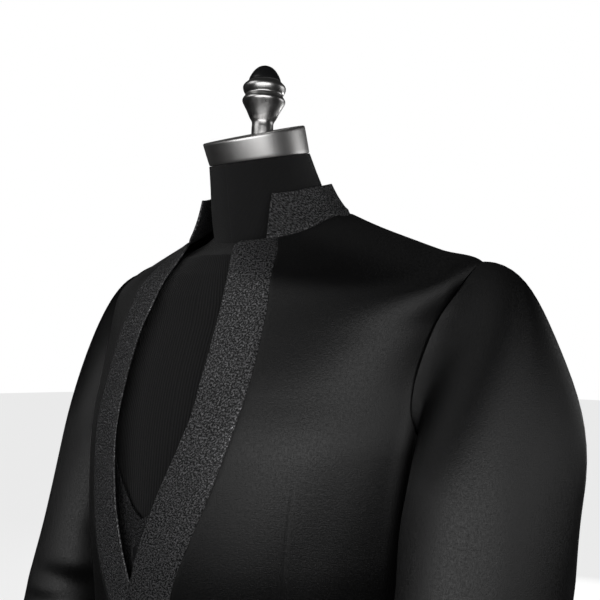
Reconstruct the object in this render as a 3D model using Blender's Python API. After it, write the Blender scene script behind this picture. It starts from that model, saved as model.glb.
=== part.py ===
"""Evening jacket with a brocade stand collar and front strips, and its waistcoat, on a limbless dress form.

Metres, +Z up, the wearer's front towards -Y and the wearer's left towards +X. The origin is the centre of the
stand's underside. The cloth surfaces come from one table of closed rings that run round the body. A place
on the body is a pair: the row, which counts the rings from the hem up to the neckline, and the reach, which
is the distance round the ring from the centre front, positive on the wearer's left. Heights in the tables
are measured from the neck point, where the shoulder seam meets the neckline.
"""

import math

import bmesh
import bpy
import numpy as np

# Driving sizes
NECK_POINT_Z = 1.060
SEAM_GAP = 0.0003
JACKET_WALL = 0.0020
COLLAR_WALL = 0.0026
SLEEVE_WALL = 0.0018
WAISTCOAT_WALL = 0.0015

# The jacket's body, ring by ring, as the outer face of the cloth
# name, half width, y front, y side, y back, z front, z side, z back, squareness
BODY_RINGS = (
    ("hem", 0.212, -0.192, -0.010, 0.135, -0.770, -0.757, -0.750, 2.3),
    ("hip", 0.206, -0.191, -0.010, 0.132, -0.620, -0.612, -0.606, 2.3),
    ("waist", 0.184, -0.193, -0.016, 0.102, -0.435, -0.430, -0.425, 2.3),
    ("rib", 0.193, -0.198, -0.016, 0.112, -0.330, -0.325, -0.320, 2.3),
    ("armpit", 0.203, -0.191, -0.008, 0.122, -0.240, -0.235, -0.228, 2.3),
    ("chest", 0.209, -0.180, -0.002, 0.124, -0.185, -0.172, -0.165, 2.15),
    ("collarbone", 0.220, -0.165, 0.000, 0.118, -0.140, -0.112, -0.112, 2.00),
    ("shoulder", 0.229, -0.153, 0.003, 0.109, -0.108, -0.0650, -0.082, 1.85),
    ("outer_yoke", 0.183, -0.143, 0.002, 0.095, -0.085, -0.0495, -0.058, 2.15),
    ("inner_yoke", 0.127, -0.134, -0.003, 0.073, -0.065, -0.0290, -0.030, 2.25),
    ("neckline", 0.080, -0.126, -0.010, 0.043, -0.045, -0.0120, -0.003, 2.15),
)
RING_SIZES = np.array([ring[1:] for ring in BODY_RINGS])
ARMPIT, SHOULDER, NECKLINE = 4, 7, 10
# How soon a ring leaves the side's height for the front's or the back's height
RING_ARCH = 0.22

# The rows of points below the underarm and above the shoulder tip
SKIRT_ROWS = (0.0, 0.45, 0.9, 1.35, 1.8, 2.2, 2.6, 3.0, 3.4, 3.75)
YOKE_ROWS = (7.6, 8.2, 8.8, 9.4, 9.75, 10.0)
FRONT_COLUMNS = 10
STRIP_COLUMNS = 3
BACK_COLUMNS = 8

# The armhole, from the underarm up to the shoulder tip: row, reach past the side line in front, and behind
ARMHOLE = np.array((
    (4.00, 0.012, 0.012),
    (4.10, -0.036, 0.040),
    (4.45, -0.062, 0.062),
    (5.00, -0.066, 0.072),
    (5.60, -0.060, 0.070),
    (6.15, -0.050, 0.060),
    (6.60, -0.036, 0.044),
    (6.88, -0.018, 0.024),
    (7.00, 0.000, 0.000),
))
ARMHOLE_STEPS = 11
SIDE_SEAM_BACK = 0.012

# The fronts' edges: row, reach of the left front's edge, of the right front's edge, and of the strips' outer
# seams on the left and on the right, all counted from the centre front to their own side
FRONT_EDGES = np.array((
    (0.00, -0.020, 0.002, 0.034, 0.054),
    (1.00, -0.036, -0.006, 0.018, 0.048),
    (2.00, -0.036, -0.004, 0.018, 0.050),
    (2.40, -0.031, 0.018, 0.023, 0.070),
    (2.80, -0.020, 0.036, 0.034, 0.088),
    (3.20, -0.005, 0.048, 0.051, 0.101),
    (3.60, 0.011, 0.056, 0.067, 0.110),
    (4.00, 0.026, 0.062, 0.078, 0.116),
    (4.50, 0.037, 0.064, 0.086, 0.117),
    (5.20, 0.041, 0.064, 0.091, 0.116),
    (6.40, 0.042, 0.062, 0.091, 0.111),
    (7.20, 0.041, 0.055, 0.089, 0.103),
    (8.30, 0.038, 0.047, 0.084, 0.093),
    (9.40, 0.033, 0.037, 0.078, 0.082),
    (10.00, 0.031, 0.034, 0.073, 0.076),
))
STRIP_CORNER_REACH = 0.006
# Where the left front laps the right one, the right one lies under it
LAP_DROP = 0.0027
LAP_FULL_REACH = 0.045
LAP_END_REACH = 0.085
LAP_FULL_ROW = 2.8
LAP_END_ROW = 3.6

# The stand collar's top edge, as a ring of the same kind, and the reach where its two ends stand
COLLAR_TOP = (0.066, -0.112, -0.028, 0.029, 0.002, 0.017, 0.028, 2.0)
COLLAR_END_SLANT = 0.010
COLLAR_END_REACH = 0.062
COLLAR_STEPS_UP = 3
COLLAR_HOLLOW = 0.0015

# One sleeve, from the upper arm to the cuff
# name, height, centre x, centre y, half thickness, half depth, turn in degrees
SLEEVE_SECTIONS = (
    ("upper_arm", -0.262, 0.2600, -0.033, 0.046, 0.077, 36.0),
    ("mid_arm", -0.360, 0.2585, -0.058, 0.046, 0.075, 33.0),
    ("elbow", -0.430, 0.2585, -0.076, 0.047, 0.069, 27.0),
    ("forearm", -0.530, 0.2600, -0.099, 0.046, 0.061, 20.0),
    ("wrist", -0.610, 0.2630, -0.113, 0.043, 0.054, 14.0),
    ("cuff", -0.675, 0.2650, -0.122, 0.041, 0.050, 10.0),
)
SLEEVE_SIZES = np.array([section[1:] for section in SLEEVE_SECTIONS])
SLEEVE_CAP_STEPS = 7
SLEEVE_ARM_STEPS = 10
SLEEVE_HEAD_PULL = 0.80
SLEEVE_ARM_PULL = 1.70
# How square the sleeve is across on its outer side
SLEEVE_SQUARENESS = 2.7
# How nearly the sleeve leaves the armhole along the body's own surface
SLEEVE_HEAD_FLAT = 0.75
# The seams between the top sleeve and the under sleeve, counted in columns from the underarm
SLEEVE_SEAM_COLUMN = 4

# Beside each fold's trough the cloth rises in a ridge: its share of the depth, and its place in half widths
FOLD_RIDGE = 0.45
FOLD_RIDGE_PLACE = 1.6
# Soft folds of the jacket's body
# name, reach and height of the middle, half length, half width, depth, slant in degrees
BODY_FOLDS = (
    ("chest_drape_left", 0.165, -0.300, 0.150, 0.026, 0.0008, 68.0),
    ("chest_drape_right", -0.170, -0.315, 0.140, 0.026, 0.0016, 112.0),
    ("skirt_left", 0.190, -0.600, 0.110, 0.028, 0.0016, 84.0),
    ("skirt_right", -0.200, -0.615, 0.120, 0.028, 0.0034, 97.0),
    ("blade_left", 0.420, -0.250, 0.110, 0.026, 0.0030, 80.0),
    ("blade_right", -0.415, -0.240, 0.120, 0.026, 0.0028, 100.0),
    ("back_waist_left", 0.440, -0.440, 0.050, 0.030, 0.0030, 15.0),
    ("back_waist_right", -0.450, -0.455, 0.050, 0.030, 0.0026, 165.0),
)
# Soft folds of a sleeve, with the turn round the sleeve from its inner side in degrees
# name, turn, height, half length, half width, depth, slant in degrees
SLEEVE_FOLDS = (
    ("elbow_high", 60.0, -0.385, 0.045, 0.018, 0.0034, 22.0),
    ("elbow_low", 75.0, -0.440, 0.050, 0.018, 0.0038, -18.0),
    ("forearm_front", 110.0, -0.520, 0.040, 0.018, 0.0026, 25.0),
    ("back_of_arm", 255.0, -0.330, 0.080, 0.020, 0.0032, 75.0),
)

# How far each inner layer lies under the jacket's outer face: row, waistcoat, dress form
LAYERS = np.array((
    (0.0, 0.0130, 0.0300),
    (2.0, 0.0120, 0.0240),
    (3.0, 0.0115, 0.0200),
    (4.0, 0.0110, 0.0180),
    (5.5, 0.0095, 0.0155),
    (6.6, 0.0072, 0.0148),
    (7.6, 0.0038, 0.0100),
    (8.6, 0.0031, 0.0078),
    (9.4, 0.0034, 0.0084),
    (10.0, 0.0040, 0.0110),
))

# The waistcoat's front, hem first: row and reach of the neck edge, row and reach past the side line of the
# armhole edge. Below the underarm that edge is the side seam. The strap ends on the shoulder line.
WAISTCOAT_FRONT = np.array((
    (1.10, -0.010, 1.45, 0.012),
    (1.75, -0.010, 2.10, 0.012),
    (2.50, -0.010, 2.80, 0.012),
    (3.13, -0.010, 3.50, 0.012),
    (3.40, 0.024, 3.72, -0.030),
    (4.10, 0.068, 4.30, -0.068),
    (5.20, 0.092, 5.40, -0.088),
    (6.50, 0.104, 6.70, -0.086),
    (7.90, 0.108, 7.60, -0.050),
))
WAISTCOAT_BACK = np.array((
    (1.45, 0.012),
    (2.10, 0.012),
    (2.80, 0.012),
    (3.50, 0.012),
    (3.72, 0.040),
    (4.30, 0.066),
    (5.40, 0.082),
    (6.70, 0.078),
    (7.60, 0.044),
))
STRAP_OUTER_ROW = 8.15
STRAP_INNER_ROW = 9.25
WAISTCOAT_UNDERARM_ROW = 3.5
WAISTCOAT_STEPS = 15
WAISTCOAT_SHIFT = -0.026
WAISTCOAT_LAP_DROP = 0.0030

# The dress form's neck, bottom first: name, height and y of the centre, radius, rise towards the back
NECK_SECTIONS = (
    ("root", -0.018, -0.030, 0.0600, 0.42),
    ("low", 0.006, -0.036, 0.0590, 0.34),
    ("middle", 0.028, -0.043, 0.0555, 0.27),
    ("top", 0.047, -0.0495, 0.0525, 0.235),
)
FORM_ROWS = (
    0.46, 0.9, 1.4, 2.0, 2.5, 3.0, 3.5, 4.0, 4.5, 5.0, 5.5, 6.0, 6.5, 7.0, 7.4, 7.8, 8.2, 8.6, 9.0, 9.5,
)
# How much lower the form lies along its shoulder line
FORM_SHOULDER_DROP = 0.0030
FORM_STEPS_ROUND = 36
CAP_BAND_HEIGHT = 0.0250
CAP_BAND_RADIUS = 0.0522
# How far the band leans forward for each metre up, and the rise of its top towards the back
CAP_BAND_LEAN = 0.39
CAP_TOP_RISE = 0.316
# How far each ring of the band stands in from its radius, and its height on the band
CAP_BAND_PROFILE = (
    (0.0006, 0.0),
    (0.0, 0.0012),
    (-0.0006, CAP_BAND_HEIGHT - 0.0012),
    (0.0008, CAP_BAND_HEIGHT),
)

# The finial's turned profile: radius and height above the cap
FINIAL_PROFILE = (
    (0.0115, 0.0045),
    (0.0113, 0.0080),
    (0.0118, 0.0112),
    (0.0145, 0.0159),
    (0.0175, 0.0224),
    (0.0203, 0.0275),
    (0.0226, 0.0322),
    (0.0222, 0.0350),
    (0.0204, 0.0378),
    (0.0199, 0.0398),
    (0.0214, 0.0425),
    (0.0226, 0.0460),
    (0.0222, 0.0490),
    (0.0195, 0.0520),
    (0.0174, 0.0540),
    (0.0164, 0.0572),
    (0.0146, 0.0610),
    (0.0118, 0.0652),
    (0.0078, 0.0690),
    (0.0028, 0.0712),
)
# How far the knob leans back for each metre of its height
FINIAL_LEAN = 0.060
FINIAL_Y = -0.046
TURNED_SIDES = 24

# The stand
BASE_RADIUS = 0.170
BASE_HEIGHT = 0.016
BASE_BEVEL = 0.003
BASE_SIDES = 48
POLE_RADIUS = 0.016
# The pole's foot: radius, height on the base. Its top: radius, distance below the form
POLE_FOOT_PROFILE = (
    (0.038, 0.0),
    (0.038, 0.008),
    (0.022, 0.018),
    (POLE_RADIUS, 0.030),
)
POLE_TOP_PROFILE = (
    (POLE_RADIUS, 0.006),
    (0.030, 0.005),
    (0.030, 0.0),
)

# A button's dome: share of its radius, share of its thickness
BUTTON_PROFILE = (
    (0.90, 0.0),
    (1.0, 0.22),
    (0.97, 0.50),
    (0.78, 0.82),
    (0.40, 0.97),
)
BUTTON_SIDES = 14
# Buttons: radius and thickness, then the row of each and how far it stands off the smooth face of its cloth
JACKET_BUTTON = (0.0100, 0.0042)
JACKET_BUTTON_REACH = -0.020
JACKET_BUTTON_PLACE = (2.05, 0.0005)
WAISTCOAT_BUTTON = (0.0070, 0.0030)
WAISTCOAT_BUTTON_PLACES = (
    (1.40, 0.0001),
    (1.95, 0.0003),
    (2.45, 0.0000),
    (2.92, -0.0004),
)

# Colours as linear red, green and blue, then roughness and metallic value
MATERIALS = {
    "suiting": ((0.012, 0.012, 0.014), 0.42, 0.0),
    "brocade": ((0.020, 0.020, 0.022), 0.50, 0.0),
    "jersey": ((0.016, 0.016, 0.017), 0.85, 0.0),
    "button": ((0.010, 0.010, 0.011), 0.35, 0.0),
    "band": ((0.55, 0.54, 0.53), 0.28, 1.0),
    "finial": ((0.28, 0.27, 0.26), 0.35, 0.9),
    "stand": ((0.040, 0.040, 0.042), 0.40, 0.8),
}


def clear_scene():
    for obj in list(bpy.data.objects):
        bpy.data.objects.remove(obj, do_unlink=True)


def material(name):
    """The part's material of this name, made on its first use."""
    if name in bpy.data.materials:
        return bpy.data.materials[name]
    colour, roughness, metallic = MATERIALS[name]
    made = bpy.data.materials.new(name)
    made.use_nodes = True
    shader = made.node_tree.nodes["Principled BSDF"]
    shader.inputs["Base Color"].default_value = (*colour, 1.0)
    shader.inputs["Roughness"].default_value = roughness
    shader.inputs["Metallic"].default_value = metallic
    return made


# Curves through tables


def through(table, position):
    """A table's rows read as one smooth curve, at these positions counted in rows."""
    position = np.clip(np.asarray(position, float), 0, len(table) - 1)
    first = np.minimum(position.astype(int), len(table) - 2)
    t = (position - first)[..., None]
    before, start, end, after = (table[np.clip(first + k, 0, len(table) - 1)] for k in (-1, 0, 1, 2))
    leave, arrive = (end - before) / 2, (after - start) / 2
    bend = 3 * (end - start) - 2 * leave - arrive
    close = 2 * (start - end) + leave + arrive
    return start + leave * t + bend * t**2 + close * t**3


def looked_up(table, row, column):
    """A column of a table whose first column rises, at this value of the first column."""
    return float(np.interp(row, table[:, 0], table[:, column]))


def eased(value, start, end):
    """0 before start and 1 after end, or the other way round where end comes first, with a soft turn."""
    share = min(max((value - start) / (end - start), 0.0), 1.0)
    return share * share * (3 - 2 * share)


# The body's surface

TURNS = np.linspace(0, math.pi, 181)
RINGS_MADE = {}


def half_ring(sizes):
    """Points of a ring from the centre front round the left side to the centre back, and their reaches."""
    half_width, y_front, y_side, y_back, z_front, z_side, z_back, squareness = sizes
    power = 2 / squareness
    sine = np.clip(np.sin(TURNS), 0, 1)
    cosine = np.abs(np.cos(TURNS))
    in_front = TURNS < math.pi / 2
    arch = cosine**2 * (1 + RING_ARCH) / (cosine**2 + RING_ARCH)
    y = y_side + (np.where(in_front, y_front, y_back) - y_side) * cosine**power
    z = z_side + (np.where(in_front, z_front, z_back) - z_side) * arch
    points = np.stack((half_width * sine**power, y, z), axis=1)
    steps = np.linalg.norm(np.diff(points, axis=0), axis=1)
    return points, np.concatenate(([0], np.cumsum(steps)))


def ring_at(row):
    key = round(float(row), 4)
    if key not in RINGS_MADE:
        RINGS_MADE[key] = half_ring(through(RING_SIZES, key))
    return RINGS_MADE[key]


def side_reach(row):
    """The reach of the side line, which is the shoulder line above the shoulder tip."""
    return ring_at(row)[1][len(TURNS) // 2]


def back_reach(row):
    return ring_at(row)[1][-1]


def surface(row, reach):
    """The point of the jacket's outer face at this row and reach, before folds."""
    points, reaches = ring_at(row)
    place = np.array([np.interp(abs(reach), reaches, points[:, axis]) for axis in range(3)])
    if reach < 0:
        place[0] = -place[0]
    return place


def directions(row, reach):
    """The surface's unit directions: round the body, up the body and outward."""
    half_reach, half_row = 0.003, 0.05
    low, high = max(row - half_row, 0), min(row + half_row, NECKLINE)
    around = surface(row, reach + half_reach) - surface(row, reach - half_reach)
    share = reach / side_reach(row)
    upward = surface(high, share * side_reach(high)) - surface(low, share * side_reach(low))
    outward = np.cross(around, upward)
    outward /= np.linalg.norm(outward)
    upward -= outward * upward.dot(outward)
    return around / np.linalg.norm(around), upward / np.linalg.norm(upward), outward


def fold_depth(folds, across, height):
    """How far the soft folds sink the cloth at this place."""
    depth = 0.0
    for _, fold_across, fold_height, half_length, half_width, deep, slant in folds:
        turn = math.radians(slant)
        away, up = across - fold_across, height - fold_height
        along = (away * math.cos(turn) + up * math.sin(turn)) / half_length
        aside = (up * math.cos(turn) - away * math.sin(turn)) / half_width
        trough = math.exp(-aside**2)
        ridge = FOLD_RIDGE * math.exp(-((aside - FOLD_RIDGE_PLACE) ** 2))
        depth += deep * math.exp(-along**2) * (trough - ridge)
    return depth


def under_surface(row, reach, depth, folds=()):
    """A point this deep under the jacket's outer face, with the folds added."""
    place = surface(row, reach)
    outward = directions(row, reach)[2]
    return place - outward * (depth + fold_depth(folds, reach, place[2]))


# Solids from grids of points


def finish(name, mesh_maker, slot, smooth_angle=40.0):
    """A new object from a bmesh, with its material and smooth shading up to this angle."""
    mesh = bpy.data.meshes.new(name)
    bmesh.ops.recalc_face_normals(mesh_maker, faces=mesh_maker.faces)
    mesh_maker.to_mesh(mesh)
    mesh_maker.free()
    mesh.materials.append(material(slot))
    mesh.shade_smooth()
    mesh.set_sharp_from_angle(angle=math.radians(smooth_angle))
    obj = bpy.data.objects.new(name, mesh)
    bpy.context.scene.collection.objects.link(obj)
    return obj


def lifted(grid):
    """The grid's points with heights counted from the floor."""
    return np.asarray(grid) + np.array((0, 0, NECK_POINT_Z))


def wall(name, outer, inner, slot):
    """A cloth wall between two grids of points of the same size."""
    outer, inner = lifted(outer), lifted(inner)
    rows, columns = outer.shape[:2]
    maker = bmesh.new()
    out = [[maker.verts.new(point) for point in line] for line in outer]
    back = [[maker.verts.new(point) for point in line] for line in inner]
    for i in range(rows - 1):
        for j in range(columns - 1):
            k = j + 1
            maker.faces.new((out[i][j], out[i][k], out[i + 1][k], out[i + 1][j]))
            maker.faces.new((back[i][j], back[i + 1][j], back[i + 1][k], back[i][k]))
    for j in range(columns - 1):
        k = j + 1
        maker.faces.new((out[0][j], back[0][j], back[0][k], out[0][k]))
        maker.faces.new((out[-1][j], out[-1][k], back[-1][k], back[-1][j]))
    for i in range(rows - 1):
        maker.faces.new((out[i][0], out[i + 1][0], back[i + 1][0], back[i][0]))
        maker.faces.new((out[i][-1], back[i][-1], back[i + 1][-1], out[i + 1][-1]))
    return finish(name, maker, slot)


def lofted(name, rings, slot):
    """A filled solid through closed rings of points, with a flat cap at each end."""
    rings = lifted(rings)
    maker = bmesh.new()
    made = [[maker.verts.new(point) for point in ring] for ring in rings]
    count = len(made[0])
    for low, high in zip(made, made[1:]):
        for j in range(count):
            k = (j + 1) % count
            maker.faces.new((low[j], low[k], high[k], high[j]))
    maker.faces.new(made[0][::-1])
    maker.faces.new(made[-1])
    return finish(name, maker, slot)


def spread(first, second, shares, straight_seam=None):
    """Reaches across a piece at these shares of the way from its first edge to its second.

    Only those near the second edge follow what it departs from a straight seam, where one is given.
    """
    seam = second if straight_seam is None else straight_seam
    return first + (seam - first) * shares + (second - seam) * shares**3


def panel(
    name, first_edge, second_edge, columns, depth, thickness, slot, side, folds=(), straight_seam=None
):
    """A cut piece between two edges, each a list of rows and reaches past the side line, of the same length.

    depth gives how far the piece's outer face lies under the jacket's, from its own row and reach. side is 1
    on the wearer's left and -1 on the right.
    """
    outer, inner = [], []
    for (row_a, offset_a), (row_b, offset_b) in zip(first_edge, second_edge):
        outer_line, inner_line = [], []
        for share in np.linspace(0, 1, columns + 1):
            row = row_a + (row_b - row_a) * share
            reach = side_reach(row) + spread(offset_a, offset_b, share, straight_seam)
            sunk = depth(row, reach)
            outer_line.append(under_surface(row, side * reach, sunk, folds))
            inner_line.append(under_surface(row, side * reach, sunk + thickness, folds))
        outer.append(outer_line)
        inner.append(inner_line)
    return wall(name, outer, inner, slot)


# The jacket


def armhole_samples():
    """Rows, and reaches past the side line in front and behind, from the underarm to the shoulder tip."""
    return through(ARMHOLE, np.linspace(0, len(ARMHOLE) - 1, ARMHOLE_STEPS + 1))


def middle_rows():
    """The rows along the front strips and the centre back, from the hem up to the neckline."""
    return (*SKIRT_ROWS, *np.linspace(ARMPIT, SHOULDER, ARMHOLE_STEPS + 1), *YOKE_ROWS)


def outer_edge(column):
    """Rows and reaches past the side line of the side seam, then the armhole, then the shoulder seam.

    Column 1 of the armhole is in front and 2 behind.
    """
    below = [(row, SIDE_SEAM_BACK) for row in SKIRT_ROWS]
    beside = [(line[0], line[column]) for line in armhole_samples()]
    return (*below, *beside, *((row, 0.0) for row in YOKE_ROWS))


def lap_depth(side):
    """How deep a front lies: the right one sinks where the left one laps it."""
    def depth(row, reach):
        if side > 0:
            return 0.0
        return LAP_DROP * eased(reach, LAP_END_REACH, LAP_FULL_REACH) * eased(row, LAP_END_ROW, LAP_FULL_ROW)
    return depth


def flush(row, reach):
    """The depth of a piece that lies in the jacket's own outer face."""
    return 0.0


def make_front(name, side):
    edge_column, seam_column = (1, 3) if side > 0 else (2, 4)
    half = SEAM_GAP / 2
    front_edge, strip_seam, panel_seam = [], [], []
    for row in middle_rows():
        corner = STRIP_CORNER_REACH if row == NECKLINE else 0.0
        middle = side_reach(row)
        seam = looked_up(FRONT_EDGES, row, seam_column) - middle
        front_edge.append((row, looked_up(FRONT_EDGES, row, edge_column) + corner - middle))
        strip_seam.append((row, seam - half))
        panel_seam.append((row, seam + half))
    outer = [(row, offset - half) for row, offset in outer_edge(1)]
    depth = lap_depth(side)
    cut = (JACKET_WALL, "brocade", side, BODY_FOLDS)
    panel("jacket_strip_" + name, front_edge, strip_seam, STRIP_COLUMNS, depth, *cut)
    cut = (JACKET_WALL, "suiting", side, BODY_FOLDS, SIDE_SEAM_BACK)
    panel("jacket_front_" + name, panel_seam, outer, FRONT_COLUMNS, depth, *cut)


def make_back(name, side):
    half = SEAM_GAP / 2
    centre = [(row, back_reach(row) - half - side_reach(row)) for row in middle_rows()]
    outer = [(row, offset + half) for row, offset in outer_edge(2)]
    cut = (JACKET_WALL, "suiting", side, BODY_FOLDS, SIDE_SEAM_BACK)
    panel("jacket_back_" + name, centre, outer, BACK_COLUMNS, flush, *cut)


def collar_reaches(side):
    """Reaches from the collar's end to the centre back, at the corners of the pieces below it."""
    shoulder = side_reach(NECKLINE)
    strip_seam = FRONT_EDGES[-1][3 if side > 0 else 4] - shoulder
    centre = back_reach(NECKLINE) - shoulder
    front = spread(strip_seam, 0.0, np.linspace(0, 1, FRONT_COLUMNS + 1), SIDE_SEAM_BACK)
    back = spread(centre, 0.0, np.linspace(1, 0, BACK_COLUMNS + 1), SIDE_SEAM_BACK)
    return (COLLAR_END_REACH, *(shoulder + front), *(shoulder + back[1:]))


def make_collar():
    """The open-fronted stand collar, on the neckline from one front end round the back to the other."""
    top_points, _ = half_ring(COLLAR_TOP)
    _, reaches = ring_at(NECKLINE)
    outer = [[] for _ in range(COLLAR_STEPS_UP + 1)]
    inner = [[] for _ in range(COLLAR_STEPS_UP + 1)]
    left = [(1, reach) for reach in collar_reaches(1)]
    right = [(-1, reach) for reach in collar_reaches(-1)[:-1]]
    for side, reach in (*left, *right[::-1]):
        mirror = np.array((side, 1, 1))
        seam = surface(NECKLINE, reach)
        around, upward, outward = directions(NECKLINE, reach)
        slanted = reach + COLLAR_END_SLANT * eased(reach, 0.120, COLLAR_END_REACH)
        turn = np.interp(slanted, reaches, TURNS)
        top = np.array([np.interp(turn, TURNS, top_points[:, axis]) for axis in range(3)])
        foot = seam + upward * SEAM_GAP
        rise = top - foot
        face = np.cross(around, rise)
        face /= np.linalg.norm(face)
        for step in range(COLLAR_STEPS_UP + 1):
            share = step / COLLAR_STEPS_UP
            facing = outward if step == 0 else face
            place = foot + rise * share - face * COLLAR_HOLLOW * math.sin(math.pi * share)
            outer[step].append(place * mirror)
            inner[step].append((place - facing * COLLAR_WALL) * mirror)
    wall("jacket_collar", outer, inner, "brocade")


def sleeve_ring(position, turns):
    """Points of the sleeve at a position counted in sections, at these turns from the inner side."""
    height, x, y, half_thick, half_deep, turn = through(SLEEVE_SIZES, position)
    angle = math.radians(turn)
    forward = np.array((-math.sin(angle), -math.cos(angle), 0))
    aside = np.array((math.cos(angle), -math.sin(angle), 0))
    centre = np.array((x, y, height))
    outside = (1 - np.cos(turns)) / 2
    power = 1 + (2 / SLEEVE_SQUARENESS - 1) * outside
    cosine, sine = (np.sign(wave) * np.abs(wave) ** power for wave in (np.cos(turns), np.sin(turns)))
    return centre - np.outer(cosine, aside) * half_thick + np.outer(sine, forward) * half_deep


def parted(grid):
    """The grid with its first and last column drawn in by half a seam's gap."""
    grid = grid.copy()
    for edge, neighbour in ((0, 1), (-1, -2)):
        way = grid[:, neighbour] - grid[:, edge]
        way /= np.linalg.norm(way, axis=1)[:, None]
        grid[:, edge] += way * SEAM_GAP / 2
    return grid


def armhole_loop(side):
    """The armhole's edge all round, front half first, each point's turn and the body's way on there.

    The points of the right side are given mirrored, as if they were on the left.
    """
    samples = armhole_samples()
    mirror = np.array((side, 1, 1))
    front, behind = (
        np.array([
            under_surface(line[0], side * (side_reach(line[0]) + line[column]), 0, BODY_FOLDS) * mirror
            for line in samples
        ])
        for column in (1, 2)
    )
    onward_front, onward_behind = (
        np.array([directions(line[0], side_reach(line[0]) + line[column])[0] * way for line in samples])
        for column, way in ((1, 1), (2, -1))
    )
    turns = []
    for half in (front, behind):
        steps = np.linalg.norm(np.diff(half, axis=0), axis=1)
        walked = np.concatenate(([0], np.cumsum(steps)))
        turns.append(math.pi * walked / walked[-1])
    loop = np.concatenate((front, behind[-2:0:-1]))
    onward = np.concatenate((onward_front, onward_behind[-2:0:-1]))
    return loop, np.concatenate((turns[0], 2 * math.pi - turns[1][-2:0:-1])), onward


def make_sleeve(name, side, fold_shift):
    """A sleeve of two pieces: out of the armhole, over the sleeve head and down the arm, open at the cuff."""
    loop, turns, onward = armhole_loop(side)
    start = loop + np.array((SEAM_GAP, 0, 0))
    upper = sleeve_ring(0, turns)
    high = (1 - np.cos(turns)) / 2
    flat = (SLEEVE_HEAD_FLAT * high * np.abs(np.sin(turns)))[:, None]
    leave = onward * flat + np.array((1.0, 0, 0)) * (1 - flat)
    leave /= np.linalg.norm(leave, axis=1)[:, None]
    arrive = sleeve_ring(0.05, turns) - upper
    arrive /= np.linalg.norm(arrive, axis=1)[:, None]
    span = np.linalg.norm(upper - start, axis=1)[:, None]
    leave_pull = span * SLEEVE_HEAD_PULL * leave
    arrive_pull = span * SLEEVE_ARM_PULL * arrive
    rows = []
    for share in np.linspace(0, 1, SLEEVE_CAP_STEPS + 1):
        there = eased(share, 0.0, 1.0)
        row = start * (1 - there) + upper * there
        row += share * (1 - share) ** 2 * leave_pull
        rows.append(row - share**2 * (1 - share) * arrive_pull)
    for position in np.linspace(0, len(SLEEVE_SIZES) - 1, SLEEVE_ARM_STEPS + 1)[1:]:
        rows.append(sleeve_ring(position, turns))
    rows = np.array(rows)
    around = np.roll(rows, -1, axis=1) - np.roll(rows, 1, axis=1)
    along = np.gradient(rows, axis=0)
    facing = np.cross(around, along)
    facing /= np.linalg.norm(facing, axis=2)[:, :, None]
    ring_way = np.roll(loop, -1, axis=0) - np.roll(loop, 1, axis=0)
    across = np.cross(ring_way, leave)
    facing[0] = across / np.linalg.norm(across, axis=1)[:, None]
    outer = rows.copy()
    for i in range(SLEEVE_CAP_STEPS, len(rows)):
        girth = 0.5 * (np.ptp(rows[i][:, 0]) + np.ptp(rows[i][:, 1])) / 2
        folds = [(fold, math.radians(turn) * girth, *rest) for fold, turn, *rest in SLEEVE_FOLDS]
        fade = min((i - SLEEVE_CAP_STEPS) / 2, 1.0)
        for j, turn in enumerate(turns):
            sunk = fade * fold_depth(folds, turn * girth, rows[i][j][2] + fold_shift)
            outer[i][j] -= facing[i][j] * sunk
    inner = outer - facing * SLEEVE_WALL
    mirror = np.array((side, 1, 1))
    count = len(turns)
    front, hind = SLEEVE_SEAM_COLUMN, count - SLEEVE_SEAM_COLUMN
    pieces = (
        ("jacket_top_sleeve_", np.arange(front, hind + 1)),
        ("jacket_under_sleeve_", np.arange(hind, count + front + 1) % count),
    )
    for piece, columns in pieces:
        faces = [parted(face[:, columns] * mirror) for face in (outer, inner)]
        wall(piece + name, *faces, "suiting")


# The waistcoat


def waistcoat_depth(row):
    return looked_up(LAYERS, row, 1)


def strap_row(table, columns):
    """A waistcoat table with its last row put on the shoulder line."""
    ends = {
        4: (STRAP_INNER_ROW, side_reach(STRAP_INNER_ROW), STRAP_OUTER_ROW, 0.0),
        2: (STRAP_OUTER_ROW, 0.0),
    }
    return np.vstack((table, ends[columns]))


def make_waistcoat_front(name, side):
    table = strap_row(WAISTCOAT_FRONT, 4)
    neck, arm = [], []
    for position in np.linspace(0, len(table) - 1, WAISTCOAT_STEPS + 1):
        neck_row, neck_reach, arm_row, past_side = through(table, position)
        drift = side * WAISTCOAT_SHIFT * eased(neck_row, 6.5, 4.0)
        last = position == len(table) - 1
        neck.append((neck_row, neck_reach + drift - (SEAM_GAP / 2 if last else 0) - side_reach(neck_row)))
        if arm_row < WAISTCOAT_UNDERARM_ROW:
            past_side = SIDE_SEAM_BACK
        arm.append((arm_row, past_side - SEAM_GAP / 2))

    def depth(row, reach):
        lapped = 0.0 if side > 0 else WAISTCOAT_LAP_DROP * eased(reach, 0.075, 0.040) * eased(row, 4.2, 3.4)
        return waistcoat_depth(row) + lapped

    panel("waistcoat_front_" + name, neck, arm, 9, depth, WAISTCOAT_WALL, "brocade", side)


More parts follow.
